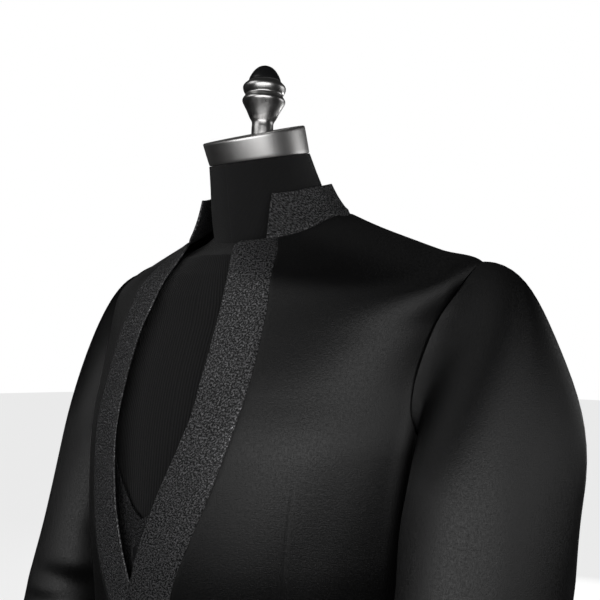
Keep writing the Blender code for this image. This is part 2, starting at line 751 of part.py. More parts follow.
def make_waistcoat_back():
    """One piece from side seam to side seam, its neck just under the collar."""
    table = strap_row(WAISTCOAT_BACK, 2)
    outer, inner = [], []
    columns = 8
    for position in np.linspace(0, len(table) - 1, WAISTCOAT_STEPS + 1):
        arm_row, past_side = through(table, position)
        if arm_row < WAISTCOAT_UNDERARM_ROW:
            past_side = SIDE_SEAM_BACK
        outer_line, inner_line = [], []
        centre_row = arm_row + (STRAP_INNER_ROW - STRAP_OUTER_ROW) * eased(arm_row, 6.0, STRAP_OUTER_ROW)
        for share in np.linspace(-1, 1, 2 * columns + 1):
            away = abs(share)
            row = centre_row + (arm_row - centre_row) * eased(away, 0.35, 1.0) if arm_row > 6 else arm_row
            side = 1 if share > 0 else -1
            start = side_reach(row) + past_side + SEAM_GAP / 2
            reach = start + (back_reach(row) - start) * (1 - away)
            outer_line.append(under_surface(row, side * reach, waistcoat_depth(row)))
            inner_line.append(under_surface(row, side * reach, waistcoat_depth(row) + WAISTCOAT_WALL))
        outer.append(outer_line[::-1])
        inner.append(inner_line[::-1])
    wall("waistcoat_back", outer, inner, "brocade")


# Buttons


def make_button(name, sizes, place, reach, depth):
    """A domed, cloth-covered button on the outer face of the layer at this depth."""
    radius, thickness = sizes
    row, standoff = place
    outward = directions(row, reach)[2]
    seat = under_surface(row, reach, depth - standoff)
    aside = np.cross((0, 0, 1), outward)
    aside /= np.linalg.norm(aside)
    upright = np.cross(outward, aside)
    turns = np.linspace(0, 2 * math.pi, BUTTON_SIDES, endpoint=False)
    circle = np.outer(np.cos(turns), aside) + np.outer(np.sin(turns), upright)
    rings = [
        seat + outward * thickness * share_up + circle * radius * share_out
        for share_out, share_up in BUTTON_PROFILE
    ]
    lofted(name, rings, "button")


def make_buttons():
    make_button("jacket_button", JACKET_BUTTON, JACKET_BUTTON_PLACE, JACKET_BUTTON_REACH, 0.0)
    for number, place in enumerate(WAISTCOAT_BUTTON_PLACES, 1):
        depth = waistcoat_depth(place[0])
        make_button(f"waistcoat_button_{number}", WAISTCOAT_BUTTON, place, WAISTCOAT_SHIFT, depth)


# The dress form and its stand


def leaning_ring(height, y, radius, rise, turns, lift=0.0):
    """A round section of the neck, its plane rising towards the back."""
    ahead = [radius * math.cos(turn) for turn in turns]
    return [
        (radius * math.sin(turn), y - step, height + lift - rise * step)
        for turn, step in zip(turns, ahead)
    ]


def cap_plane(y):
    """The height of the neck cap's top at this distance behind the form's middle."""
    _, height, centre_y, _, _ = NECK_SECTIONS[-1]
    top_y = centre_y - CAP_BAND_LEAN * CAP_BAND_HEIGHT
    return height + SEAM_GAP + CAP_BAND_HEIGHT + CAP_TOP_RISE * (y - top_y)


def make_form():
    turns = np.linspace(0, 2 * math.pi, FORM_STEPS_ROUND, endpoint=False)
    rings = []
    for row in FORM_ROWS:
        _, reaches = ring_at(row)
        depth = looked_up(LAYERS, row, 2)
        ring = []
        for turn in turns:
            side = 1 if turn <= math.pi else -1
            reach = np.interp(turn if side > 0 else 2 * math.pi - turn, TURNS, reaches)
            near_side = eased(abs(reach - side_reach(row)), 0.075, 0.030)
            drop = FORM_SHOULDER_DROP * near_side * eased(row, 6.5, 7.5)
            ring.append(under_surface(row, side * reach, depth + drop))
        rings.append(ring)
    flat = np.array(rings[0])
    flat[:, 2] = flat[:, 2].mean()
    rings[0] = flat
    for _, height, y, radius, rise in NECK_SECTIONS:
        rings.append(leaning_ring(height, y, radius, rise, turns))
    lofted("form_torso", rings, "jersey")

    _, height, y, _, rise = NECK_SECTIONS[-1]
    band = []
    for inset, up in CAP_BAND_PROFILE:
        forward = CAP_BAND_LEAN * up
        tilt = rise + (CAP_TOP_RISE - rise) * up / CAP_BAND_HEIGHT
        band.append(leaning_ring(height, y - forward, CAP_BAND_RADIUS - inset, tilt, turns, SEAM_GAP + up))
    lofted("form_neck_cap", band, "band")
    return flat[0][2]


def make_finial():
    """The turned knob, leaning back a little, its foot cut to the cap's slope."""
    turns = np.linspace(0, 2 * math.pi, TURNED_SIDES, endpoint=False)
    circle = np.stack((np.sin(turns), -np.cos(turns), np.zeros(TURNED_SIDES)), axis=1)
    foot = circle * FINIAL_PROFILE[0][0] + (0, FINIAL_Y, 0)
    foot[:, 2] = [cap_plane(y) + SEAM_GAP for y in foot[:, 1]]
    seat = cap_plane(FINIAL_Y)
    rings = []
    for radius, height in FINIAL_PROFILE:
        ring = circle * radius + (0, FINIAL_Y + FINIAL_LEAN * height, seat + height)
        ring[:, 2] -= FINIAL_LEAN * circle[:, 1] * radius
        rings.append(ring)
    lofted("form_finial", [foot, *rings], "finial")


def make_stand(form_bottom):
    maker = bmesh.new()
    radii = {"radius1": BASE_RADIUS, "radius2": BASE_RADIUS}
    bmesh.ops.create_cone(maker, cap_ends=True, segments=BASE_SIDES, depth=BASE_HEIGHT, **radii)
    base = finish("stand_base", maker, "stand")
    base.location = (0, 0, BASE_HEIGHT / 2)
    bevel = base.modifiers.new("edge", "BEVEL")
    bevel.width = BASE_BEVEL
    bevel.segments = 2
    bevel.limit_method = "ANGLE"

    low = BASE_HEIGHT + SEAM_GAP - NECK_POINT_Z
    top = form_bottom - SEAM_GAP
    turns = np.linspace(0, 2 * math.pi, TURNED_SIDES, endpoint=False)
    circle = np.stack((np.cos(turns), np.sin(turns), np.zeros(TURNED_SIDES)), axis=1)
    rings = [circle * radius + (0, 0, low + height) for radius, height in POLE_FOOT_PROFILE]
    rings += [circle * radius + (0, 0, top - below) for radius, below in POLE_TOP_PROFILE]
    lofted("stand_pole", rings, "stand")


def build():
    clear_scene()
    for name, side in (("left", 1), ("right", -1)):
        make_front(name, side)
        make_back(name, side)
        make_waistcoat_front(name, side)
    make_sleeve("left", 1, 0.0)
    make_sleeve("right", -1, 0.018)
    make_collar()
    make_waistcoat_back()
    make_buttons()
    form_bottom = make_form()
    make_finial()
    make_stand(form_bottom)


build()
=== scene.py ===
"""Looks of the evening jacket and its waistcoat on a limbless dress form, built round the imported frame.

Metres, +Z up, the wearer's front towards -Y and the wearer's left towards +X. A place on the body is a row
and a reach, as in the part's source: the row counts the rings from the hem to the neckline, and the reach is
the distance round the ring from the centre front. Heights in the tables are measured from the neck point.
"""

import math

import bmesh
import bpy
import numpy as np
from mathutils import Matrix


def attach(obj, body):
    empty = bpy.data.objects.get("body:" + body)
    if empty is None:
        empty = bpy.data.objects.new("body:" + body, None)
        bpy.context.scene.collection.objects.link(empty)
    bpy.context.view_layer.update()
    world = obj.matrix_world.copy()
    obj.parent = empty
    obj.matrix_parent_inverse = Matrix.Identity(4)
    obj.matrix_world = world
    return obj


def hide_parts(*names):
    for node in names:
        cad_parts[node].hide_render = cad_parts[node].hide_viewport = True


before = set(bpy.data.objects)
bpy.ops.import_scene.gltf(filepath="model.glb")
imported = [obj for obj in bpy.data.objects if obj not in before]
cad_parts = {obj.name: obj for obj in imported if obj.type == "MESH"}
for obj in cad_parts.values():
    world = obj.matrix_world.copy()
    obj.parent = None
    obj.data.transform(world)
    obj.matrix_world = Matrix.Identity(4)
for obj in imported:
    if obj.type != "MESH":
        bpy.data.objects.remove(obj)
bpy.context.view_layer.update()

# Driving sizes
NECK_POINT_Z = 1.060
SEAM_GAP = 0.0003
JACKET_WALL = 0.0020
COLLAR_WALL = 0.0026
SLEEVE_WALL = 0.0018
WAISTCOAT_WALL = 0.0015

# The jacket's body, ring by ring, as the outer face of the cloth
# name, half width, y front, y side, y back, z front, z side, z back, squareness
BODY_RINGS = (
    ("hem", 0.212, -0.192, -0.010, 0.135, -0.770, -0.757, -0.750, 2.3),
    ("hip", 0.206, -0.191, -0.010, 0.132, -0.620, -0.612, -0.606, 2.3),
    ("waist", 0.184, -0.193, -0.016, 0.102, -0.435, -0.430, -0.425, 2.3),
    ("rib", 0.193, -0.198, -0.016, 0.112, -0.330, -0.325, -0.320, 2.3),
    ("armpit", 0.203, -0.191, -0.008, 0.122, -0.240, -0.235, -0.228, 2.3),
    ("chest", 0.209, -0.180, -0.002, 0.124, -0.185, -0.172, -0.165, 2.15),
    ("collarbone", 0.220, -0.165, 0.000, 0.118, -0.140, -0.112, -0.112, 2.00),
    ("shoulder", 0.229, -0.153, 0.003, 0.109, -0.108, -0.0650, -0.082, 1.85),
    ("outer_yoke", 0.183, -0.143, 0.002, 0.095, -0.085, -0.0495, -0.058, 2.15),
    ("inner_yoke", 0.127, -0.134, -0.003, 0.073, -0.065, -0.0290, -0.030, 2.25),
    ("neckline", 0.080, -0.126, -0.010, 0.043, -0.045, -0.0120, -0.003, 2.15),
)
RING_SIZES = np.array([ring[1:] for ring in BODY_RINGS])
ARMPIT, SHOULDER, NECKLINE = 4, 7, 10
# How soon a ring leaves the side's height for the front's or the back's height
RING_ARCH = 0.22

# The armhole, from the underarm up to the shoulder tip: row, reach past the side line in front, and behind
ARMHOLE = np.array((
    (4.00, 0.012, 0.012),
    (4.10, -0.036, 0.040),
    (4.45, -0.062, 0.062),
    (5.00, -0.066, 0.072),
    (5.60, -0.060, 0.070),
    (6.15, -0.050, 0.060),
    (6.60, -0.036, 0.044),
    (6.88, -0.018, 0.024),
    (7.00, 0.000, 0.000),
))
# How far behind the side line the side seam runs
SIDE_SEAM_BACK = 0.012

# The fronts' edges: row, reach of the left front's edge, of the right front's edge, and of the strips' outer
# seams on the left and on the right, all counted from the centre front to their own side
FRONT_EDGES = np.array((
    (0.00, -0.020, 0.002, 0.034, 0.054),
    (1.00, -0.036, -0.006, 0.018, 0.048),
    (2.00, -0.036, -0.004, 0.018, 0.050),
    (2.40, -0.031, 0.018, 0.023, 0.070),
    (2.80, -0.020, 0.036, 0.034, 0.088),
    (3.20, -0.005, 0.048, 0.051, 0.101),
    (3.60, 0.011, 0.056, 0.067, 0.110),
    (4.00, 0.026, 0.062, 0.078, 0.116),
    (4.50, 0.037, 0.064, 0.086, 0.117),
    (5.20, 0.041, 0.064, 0.091, 0.116),
    (6.40, 0.042, 0.062, 0.091, 0.111),
    (7.20, 0.041, 0.055, 0.089, 0.103),
    (8.30, 0.038, 0.047, 0.084, 0.093),
    (9.40, 0.033, 0.037, 0.078, 0.082),
    (10.00, 0.031, 0.034, 0.073, 0.076),
))
# The strips' top corners are rounded off by this reach, from this row up
STRIP_CORNER_REACH = 0.006
STRIP_CORNER_ROW = 9.55
# Where the left front laps the right one, the right one lies under it
LAP_DROP = 0.0027
LAP_FULL_REACH = 0.045
LAP_END_REACH = 0.085
LAP_FULL_ROW = 2.8
LAP_END_ROW = 3.6

# The stand collar's top edge, as a ring of the same kind, and the reach where its two ends stand
COLLAR_TOP = (0.066, -0.112, -0.028, 0.029, 0.002, 0.017, 0.028, 2.0)
COLLAR_END_SLANT = 0.010
COLLAR_END_REACH = 0.062
# Where the top edge begins to slant towards its end
COLLAR_SLANT_REACH = 0.120
COLLAR_HOLLOW = 0.0015
# The collar leaves the body's direction within the first quarter of its height
COLLAR_FOOT_TURN = 4
# A raised line above the collar's seam: its share of half the wall, and its height and width
COLLAR_RIDGE = 0.55
COLLAR_RIDGE_UP = 0.0042
COLLAR_RIDGE_WIDTH = 0.0014

# One sleeve, from the upper arm to the cuff
# name, height, centre x, centre y, half thickness, half depth, turn in degrees
SLEEVE_SECTIONS = (
    ("upper_arm", -0.262, 0.2600, -0.033, 0.046, 0.077, 36.0),
    ("mid_arm", -0.360, 0.2585, -0.058, 0.046, 0.075, 33.0),
    ("elbow", -0.430, 0.2585, -0.076, 0.047, 0.069, 27.0),
    ("forearm", -0.530, 0.2600, -0.099, 0.046, 0.061, 20.0),
    ("wrist", -0.610, 0.2630, -0.113, 0.043, 0.054, 14.0),
    ("cuff", -0.675, 0.2650, -0.122, 0.041, 0.050, 10.0),
)
SLEEVE_SIZES = np.array([section[1:] for section in SLEEVE_SECTIONS])
# How strongly the sleeve head's curve follows the armhole, and the arm
SLEEVE_HEAD_PULL = 0.80
SLEEVE_ARM_PULL = 1.70
# How square the sleeve is across on its outer side
SLEEVE_SQUARENESS = 2.7
# How nearly the sleeve leaves the armhole along the body's own surface
SLEEVE_HEAD_FLAT = 0.75
# The seams between the top sleeve and the under sleeve, counted in columns from the underarm
SLEEVE_SEAM_COLUMN = 16
# A sleeve's seams are drawn nearly closed, so no daylight shows through the tube
SLEEVE_SEAM_SLIT = 0.00004
# How far the sleeve head's edge turns in under the body's cloth, and how deep
HEAD_TURNING = 0.003
HEAD_TURNING_DROP = JACKET_WALL + 0.0002
# The cloth's faces turn from the armhole's direction to the sleeve's own over this share of the head
HEAD_BLEND = 0.06
# The ripple of the cloth that is eased into the armhole: waves round the seam and their drift, the turn
# from the underarm where it starts, its depth, and its distance from the seam and width
EASE_WAVES, EASE_DRIFT, EASE_START = 23.0, 5.0, 0.9
EASE_DEPTH, EASE_PLACE, EASE_WIDTH = 0.00035, 0.007, 0.006

# Beside each fold's trough the cloth rises in a ridge: its share of the depth, and its place in half widths
FOLD_RIDGE = 0.45
FOLD_RIDGE_PLACE = 1.6
# Soft folds of the jacket's body
# name, reach and height of the middle, half length, half width, depth, slant in degrees
BODY_FOLDS = (
    ("chest_drape_left", 0.165, -0.300, 0.150, 0.026, 0.0008, 68.0),
    ("chest_drape_right", -0.170, -0.315, 0.140, 0.026, 0.0016, 112.0),
    ("skirt_left", 0.190, -0.600, 0.110, 0.028, 0.0016, 84.0),
    ("skirt_right", -0.200, -0.615, 0.120, 0.028, 0.0034, 97.0),
    ("blade_left", 0.420, -0.250, 0.110, 0.026, 0.0030, 80.0),
    ("blade_right", -0.415, -0.240, 0.120, 0.026, 0.0028, 100.0),
    ("back_waist_left", 0.440, -0.440, 0.050, 0.030, 0.0030, 15.0),
    ("back_waist_right", -0.450, -0.455, 0.050, 0.030, 0.0026, 165.0),
)
# Soft folds of a sleeve, with the turn round the sleeve from its inner side in degrees
# name, turn, height, half length, half width, depth, slant in degrees
SLEEVE_FOLDS = (
    ("elbow_high", 60.0, -0.385, 0.045, 0.018, 0.0034, 22.0),
    ("elbow_low", 75.0, -0.440, 0.050, 0.018, 0.0038, -18.0),
    ("forearm_front", 110.0, -0.520, 0.040, 0.018, 0.0026, 25.0),
    ("back_of_arm", 255.0, -0.330, 0.080, 0.020, 0.0032, 75.0),
)

# How far each inner layer lies under the jacket's outer face: row, waistcoat, dress form
LAYERS = np.array((
    (0.0, 0.0130, 0.0300),
    (2.0, 0.0120, 0.0240),
    (3.0, 0.0115, 0.0200),
    (4.0, 0.0110, 0.0180),
    (5.5, 0.0095, 0.0155),
    (6.6, 0.0072, 0.0148),
    (7.6, 0.0038, 0.0100),
    (8.6, 0.0031, 0.0078),
    (9.4, 0.0034, 0.0084),
    (10.0, 0.0040, 0.0110),
))

# The waistcoat's front, hem first: row and reach of the neck edge, row and reach past the side line of the
# armhole edge. Below the underarm that edge is the side seam. The strap ends on the shoulder line.
WAISTCOAT_FRONT = np.array((
    (1.10, -0.010, 1.45, 0.012),
    (1.75, -0.010, 2.10, 0.012),
    (2.50, -0.010, 2.80, 0.012),
    (3.13, -0.010, 3.50, 0.012),
    (3.40, 0.024, 3.72, -0.030),
    (4.10, 0.068, 4.30, -0.068),
    (5.20, 0.092, 5.40, -0.088),
    (6.50, 0.104, 6.70, -0.086),
    (7.90, 0.108, 7.60, -0.050),
))
WAISTCOAT_BACK = np.array((
    (1.45, 0.012),
    (2.10, 0.012),
    (2.80, 0.012),
    (3.50, 0.012),
    (3.72, 0.040),
    (4.30, 0.066),
    (5.40, 0.082),
    (6.70, 0.078),
    (7.60, 0.044),
))
STRAP_OUTER_ROW = 8.15
STRAP_INNER_ROW = 9.25
WAISTCOAT_UNDERARM_ROW = 3.5
# The closure lies this far to the wearer's right, and less and less between the lower row and the upper one
WAISTCOAT_SHIFT = -0.026
WAISTCOAT_SHIFT_ROWS = (6.5, 4.0)
# The right front sinks where the left one laps it: outer and inner reach, upper and lower row
WAISTCOAT_LAP_DROP = 0.0030
WAISTCOAT_LAP_REACHES = (0.075, 0.040)
WAISTCOAT_LAP_ROWS = (4.2, 3.4)
# From this row up the back's rows rise towards its middle, level within this share of its half width
BLADE_ROW = 6.0
BACK_NECK_SHARE = 0.35
# About half the back's width, in metres
WAISTCOAT_BACK_HALF = 0.25

# The dress form's neck, bottom first: name, height and y of the centre, radius, rise towards the back
NECK_SECTIONS = (
    ("root", -0.018, -0.030, 0.0600, 0.42),
    ("low", 0.006, -0.036, 0.0590, 0.34),
    ("middle", 0.028, -0.043, 0.0555, 0.27),
    ("top", 0.047, -0.0495, 0.0525, 0.235),
)
FORM_ROWS = (
    0.46, 0.9, 1.4, 2.0, 2.5, 3.0, 3.5, 4.0, 4.5, 5.0, 5.5, 6.0, 6.5, 7.0, 7.4, 7.8, 8.2, 8.6, 9.0, 9.5,
)
# How much lower the form lies along its shoulder line
FORM_SHOULDER_DROP = 0.0030
FORM_DROP_REACHES = (0.075, 0.030)
FORM_DROP_ROWS = (6.5, 7.5)
# How far the torso's curve into the neck is drawn in
NECK_HOLLOW = 0.004
CAP_BAND_HEIGHT = 0.0250
CAP_BAND_RADIUS = 0.0522
# How far the band leans forward for each metre up, and the rise of its top towards the back
CAP_BAND_LEAN = 0.39
CAP_TOP_RISE = 0.316
# How far each ring of the band stands in from its radius, and its height on the band
CAP_BAND_PROFILE = (
    (0.0012, 0.0), (0.0003, 0.0005), (0.0, 0.0013), (-0.0001, 0.004), (-0.0003, 0.012),
    (-0.0005, CAP_BAND_HEIGHT - 0.0030), (-0.0005, CAP_BAND_HEIGHT - 0.0016),
    (-0.0001, CAP_BAND_HEIGHT - 0.0006), (0.0008, CAP_BAND_HEIGHT - 0.0001), (0.0020, CAP_BAND_HEIGHT),
)

# The finial's turned profile: radius and height above the cap
FINIAL_PROFILE = (
    (0.0115, 0.0045), (0.0113, 0.0080), (0.0118, 0.0112), (0.0145, 0.0159), (0.0175, 0.0224),
    (0.0203, 0.0275), (0.0226, 0.0322), (0.0222, 0.0350), (0.0204, 0.0378), (0.0199, 0.0398),
    (0.0214, 0.0425), (0.0226, 0.0460), (0.0222, 0.0490), (0.0195, 0.0520), (0.0174, 0.0540),
    (0.0164, 0.0572), (0.0146, 0.0610), (0.0118, 0.0652), (0.0078, 0.0690), (0.0028, 0.0712),
)
# How far the knob leans back for each metre of its height
FINIAL_LEAN = 0.060
FINIAL_Y = -0.046
# The painted shade on the dome's top starts at this height above the cap, over this short blend: the dome is
# coloured near-black
FINIAL_SHADE_HEIGHT = 0.0543
FINIAL_SHADE_BLEND = 0.0004

# The stand
BASE_RADIUS = 0.170
BASE_HEIGHT = 0.016
BASE_BEVEL = 0.003
# Rings on the base's top, which is flat
BASE_TOP_RADII = (BASE_RADIUS * 0.6, 0.045)
POLE_RADIUS = 0.016
# The pole's foot: radius, height on the base. Its top: radius, distance below the form
POLE_FOOT_PROFILE = (
    (0.0365, 0.0), (0.038, 0.0012), (0.038, 0.0070), (0.0368, 0.0086), (0.0300, 0.0120), (0.0235, 0.0165),
    (0.0195, 0.0220), (0.0172, 0.0275), (POLE_RADIUS, 0.034),
)
POLE_TOP_PROFILE = (
    (POLE_RADIUS, 0.006), (0.030, 0.005), (0.030, 0.0),
)
# The pole's plain rings start this far above the base and end this far below the form
POLE_CLEAR_LOW = 0.05
POLE_CLEAR_HIGH = 0.02

# A button's dome: share of its radius, share of its thickness
BUTTON_PROFILE = (
    (0.88, 0.0), (0.96, 0.08), (1.0, 0.22), (0.995, 0.36), (0.97, 0.50), (0.90, 0.66), (0.78, 0.80),
    (0.60, 0.91), (0.40, 0.97), (0.20, 0.995), (0.06, 1.0),
)
# Buttons: radius and thickness, then the row of each and how far it stands off the smooth face of its cloth
JACKET_BUTTON = (0.0100, 0.0042)
JACKET_BUTTON_REACH = -0.020
JACKET_BUTTON_PLACE = (2.05, 0.0005)
WAISTCOAT_BUTTON = (0.0070, 0.0030)
WAISTCOAT_BUTTON_PLACES = (
    (1.40, 0.0001), (1.95, 0.0003), (2.45, 0.0000), (2.92, -0.0004),
)

# Finer sizes of the looks
# The spacing of the cloth's points, and a panel's mean width as a share of its widest
CLOTH_STEP = 0.0045
MEAN_WIDTH = 0.9
# Steps of the panels between hem and underarm, along the armhole, and up to the neckline
SKIRT_STEPS, ARM_STEPS, YOKE_STEPS = 112, 44, 30
# Columns across each kind of piece, and the collar's rows
STRIP_COLUMNS, FRONT_COLUMNS, BACK_COLUMNS, WAISTCOAT_COLUMNS = 14, 58, 52, 44
COLLAR_COLUMNS, COLLAR_ROWS = 52, 9
WAISTCOAT_FRONT_ROWS, WAISTCOAT_BACK_ROWS = 150, 130
# Shares of the way over the sleeve head, and steps down the arm
CAP_SHARES = np.concatenate(((0.0, 0.008, 0.020, 0.045, 0.08), np.arange(13, 94, 5) / 100, (0.97, 1.0)))
SLEEVE_STEPS = 92
# Sides of the round pieces, and steps along their outlines
FORM_SIDES, FINIAL_SIDES, STAND_SIDES, BUTTON_SIDES = 144, 96, 128, 48
FORM_STEPS, NECK_BLEND_STEPS, NECK_STEPS, FINIAL_STEPS, BASE_BEVEL_STEPS, POLE_RINGS = 78, 8, 25, 110, 6, 6
# Where the extra lines of points lie beside an edge. Even lines within this multiple of the last are left out
EDGE_LINES = (0.0, 0.0004, 0.0010, 0.0020, 0.0045)
EDGE_CLEAR = 1.3
# The lines beside the hem, the neckline, the cuff and the waistcoat's hem, in rows of their tables, and those
# beside a sleeve's seams, as shares of a column
HEM_LINES = (0.0, 0.003, 0.0075, 0.015)
NECK_LINES = (0.075, 0.035, 0.015, 0.0)
CUFF_LINES = (0.035, 0.015, 0.006, 0.0)
WAISTCOAT_HEM_LINES = (0.006, 0.014, 0.03)
SLEEVE_EDGE_SHARES = (0.12, 0.35)
# A turned edge rolls over this far, and not quite to the middle of its wall
ROLL = 0.0010
ROLL_SHARE = 0.96
# A seam sinks this deep and fades over this distance, in a shallow hollow that fades more slowly
SEAM_SINK = 0.0005
SEAM_FADE = 0.0030 / 2.2
SEAM_HOLLOW = 0.00025
SEAM_HOLLOW_FADE = 0.006
# Edges sharper than this many degrees are shaded as edges
CLOTH_SHARP_ANGLE, LOFT_SHARP_ANGLE = 50.0, 40.0
# A sheet's flat size is stated in steps, this many to the metre, and its area as no less than this share
FLAT_STEPS = 200

# The stitched dart below the chest: its reach at its low row and how that leans for each row up, the rows
# that it fades in and out at, its width and depth, and the ridges beside it
DART_REACH = 0.1388
DART_LEAN = 0.0061
DART_LOW_ROW, DART_LOW_FADE = 3.2, 1.9
DART_HIGH_ROW, DART_HIGH_FADE = 3.95, 0.5
DART_WIDTH = 0.0014
DART_DEPTH = 0.0005
DART_RIDGE, DART_RIDGE_PLACE = 0.35, 2.2
# The share of the front's width that the dart runs through, and its columns
DART_STRETCH = (0.28, 0.43)
DART_COLUMNS = 48

# Creases of the looks, in the same columns as the soft folds
FRONT_CREASES = (
    ("strip_trough_near", 0.122, -0.540, 0.100, 0.016, 0.0010, 82.0),
    ("dart_hollow", 0.196, -0.430, 0.090, 0.022, 0.0007, 91.0),
    ("arm_break", 0.253, -0.290, 0.140, 0.009, 0.0060, 84.0),
    ("yoke_soft", 0.125, -0.130, 0.060, 0.030, 0.0007, 30.0),
    ("skirt_soft", 0.120, -0.650, 0.080, 0.022, 0.0016, 95.0),
    ("side_wave", 0.265, -0.520, 0.130, 0.020, 0.0020, 88.0),
)
BACK_CREASES = (
    ("blade_soft", 0.395, -0.190, 0.080, 0.022, 0.0014, 68.0),
    ("waist_pull", 0.370, -0.405, 0.055, 0.012, 0.0016, 28.0),
    ("skirt_wave", 0.400, -0.610, 0.120, 0.024, 0.0022, 92.0),
    ("seat_wave", 0.480, -0.660, 0.090, 0.018, 0.0014, 84.0),
    ("yoke_back", 0.300, -0.105, 0.050, 0.020, 0.0008, 150.0),
)
SLEEVE_CREASES = (
    ("head_hollow", 95.0, -0.215, 0.060, 0.014, 0.0012, 80.0),
    ("front_drag", 70.0, -0.300, 0.060, 0.012, 0.0018, 60.0),
    ("elbow_mid", 95.0, -0.415, 0.034, 0.010, 0.0026, 6.0),
    ("elbow_back", 240.0, -0.440, 0.045, 0.014, 0.0018, 160.0),
    ("wrist_soft", 130.0, -0.600, 0.050, 0.014, 0.0014, 75.0),
    ("outer_soft", 180.0, -0.330, 0.110, 0.018, 0.0014, 95.0),
)
# The right sleeve's folds lie lower by this, and its creases by this share of it
SLEEVE_FOLD_SHIFT = 0.018
CREASE_SHIFT = 0.7
# The sleeve's row where its creases start, the rows over which folds and creases fade in, and the mean
# radius that stands for the arm's in the sleeve head
CREASE_FIRST_ROW = 8
FOLD_FADE_ROWS = 14
HEAD_GIRTH = 0.065
# How a crease changes on the other side: shifts of its reach and height, and shares of its measures
MIRROR_SHIFTS = (0.006, 0.014)
MIRROR_SHARES = (0.92, 1.08, 0.86)

# The camera that was fitted to the photo, with angles in degrees and lens and sensor in millimetres
CAMERA_PLACE = (0.5664, -0.6994, 0.948)
CAMERA_YAW, CAMERA_PITCH, CAMERA_ROLL = 38.15, 0.85, 0.65
CAMERA_LENS, CAMERA_SENSOR = 49.38, 36.0
CAMERA_CLIP = (0.02, 60)

# The floor, and how much of its look to the camera is plain white
FLOOR_RADIUS = 9.0
FLOOR_DROP = 0.0005
FLOOR_GLOW = 0.82
# The strength of the surround for everything but the camera
SURROUND_DIM = 0.015
# The lights: name, azimuth, distance, height, width, height of the light, power, and the place it faces
LIGHTS = (
    ("key", 34.0, 2.1, 0.97, 3.2, 1.17, 27.0, (0, 0, 0.95)),
    ("fill", 36.0, 2.6, 1.75, 0.8, 0.5, 1.0, (0, 0, 0.80)),
    ("side_right", 150.0, 2.3, 1.20, 1.4, 0.9, 4.5, (0, 0, 0.80)),
    ("back", 200.0, 2.4, 0.45, 2.2, 0.6, 30.0, (0, 0, 0.80)),
    ("front", -26.0, 1.9, 2.25, 1.5, 1.3, 7.0, (0.22, -0.05, 0.93)),
)


# Curves through tables


def through(table, position):
    """A table's rows read as one smooth curve, at these positions counted in rows."""
    table = np.asarray(table, float)
    position = np.clip(np.asarray(position, float), 0, len(table) - 1)
    first = np.minimum(position.astype(int), len(table) - 2)
    t = (position - first)[..., None]
    before, start, end, after = (table[np.clip(first + k, 0, len(table) - 1)] for k in (-1, 0, 1, 2))
    leave, arrive = (end - before) / 2, (after - start) / 2
    bend = 3 * (end - start) - 2 * leave - arrive
    close = 2 * (start - end) + leave + arrive
    return start + leave * t + bend * t**2 + close * t**3


def smooth_lookup(table, value, column):
    """A column of a table whose first column rises unevenly, read as one smooth curve at these values."""
    known, wanted = table[:, 0], np.asarray(value, float)
    slopes = np.gradient(table[:, column], known)
    k = np.clip(np.searchsorted(known, wanted) - 1, 0, len(known) - 2)
    span = known[k + 1] - known[k]
    t = np.clip((wanted - known[k]) / span, 0, 1)
    start, end = table[k, column], table[k + 1, column]
    ease = t * t * (3 - 2 * t)
    sway = t * (1 - t) ** 2 * slopes[k] - t * t * (1 - t) * slopes[k + 1]
    return start + (end - start) * ease + sway * span


def eased(value, start, end):
    """0 before start and 1 after end, or the other way round where end comes first, with a soft turn."""
    share = np.clip((np.asarray(value, float) - start) / (end - start), 0, 1)
    return share * share * (3 - 2 * share)


# The body's surface, as one fine net of points

TURNS = np.linspace(0, math.pi, 361)
NET_ROWS = np.linspace(0, NECKLINE, 501)
HALF_SHARES = np.linspace(0, 1, 121)


def half_ring(sizes):
    """Points of a ring from the centre front round the left side to the centre back, and their reaches."""
    half_width, y_front, y_side, y_back, z_front, z_side, z_back, squareness = sizes
    power = 2 / squareness
    sine = np.clip(np.sin(TURNS), 0, 1)
    cosine = np.abs(np.cos(TURNS))
    in_front = TURNS < math.pi / 2
    arch = cosine**2 * (1 + RING_ARCH) / (cosine**2 + RING_ARCH)
    y = y_side + (np.where(in_front, y_front, y_back) - y_side) * cosine**power
    z = z_side + (np.where(in_front, z_front, z_back) - z_side) * arch
    points = np.stack((half_width * sine**power, y, z), axis=1)
    steps = np.linalg.norm(np.diff(points, axis=0), axis=1)
    return points, np.concatenate(([0], np.cumsum(steps)))


def make_net():
    """The surface at every net row, evenly by reach from centre front to side line and on to centre back."""
    net, sides, backs = [], [], []
    for row in NET_ROWS:
        points, reaches = half_ring(through(RING_SIZES, row))
        side, back = reaches[len(TURNS) // 2], reaches[-1]
        wanted = np.concatenate((side * HALF_SHARES, side + (back - side) * HALF_SHARES[1:]))
        net.append(np.stack([np.interp(wanted, reaches, points[:, axis]) for axis in range(3)], axis=1))
        sides.append(side)
        backs.append(back)
    return np.array(net), np.array(sides), np.array(backs)


NET, NET_SIDES, NET_BACKS = make_net()


def side_reach(row):
    """The reach of the side line, which is the shoulder line above the shoulder tip."""
    return np.interp(row, NET_ROWS, NET_SIDES)


def back_reach(row):
    return np.interp(row, NET_ROWS, NET_BACKS)


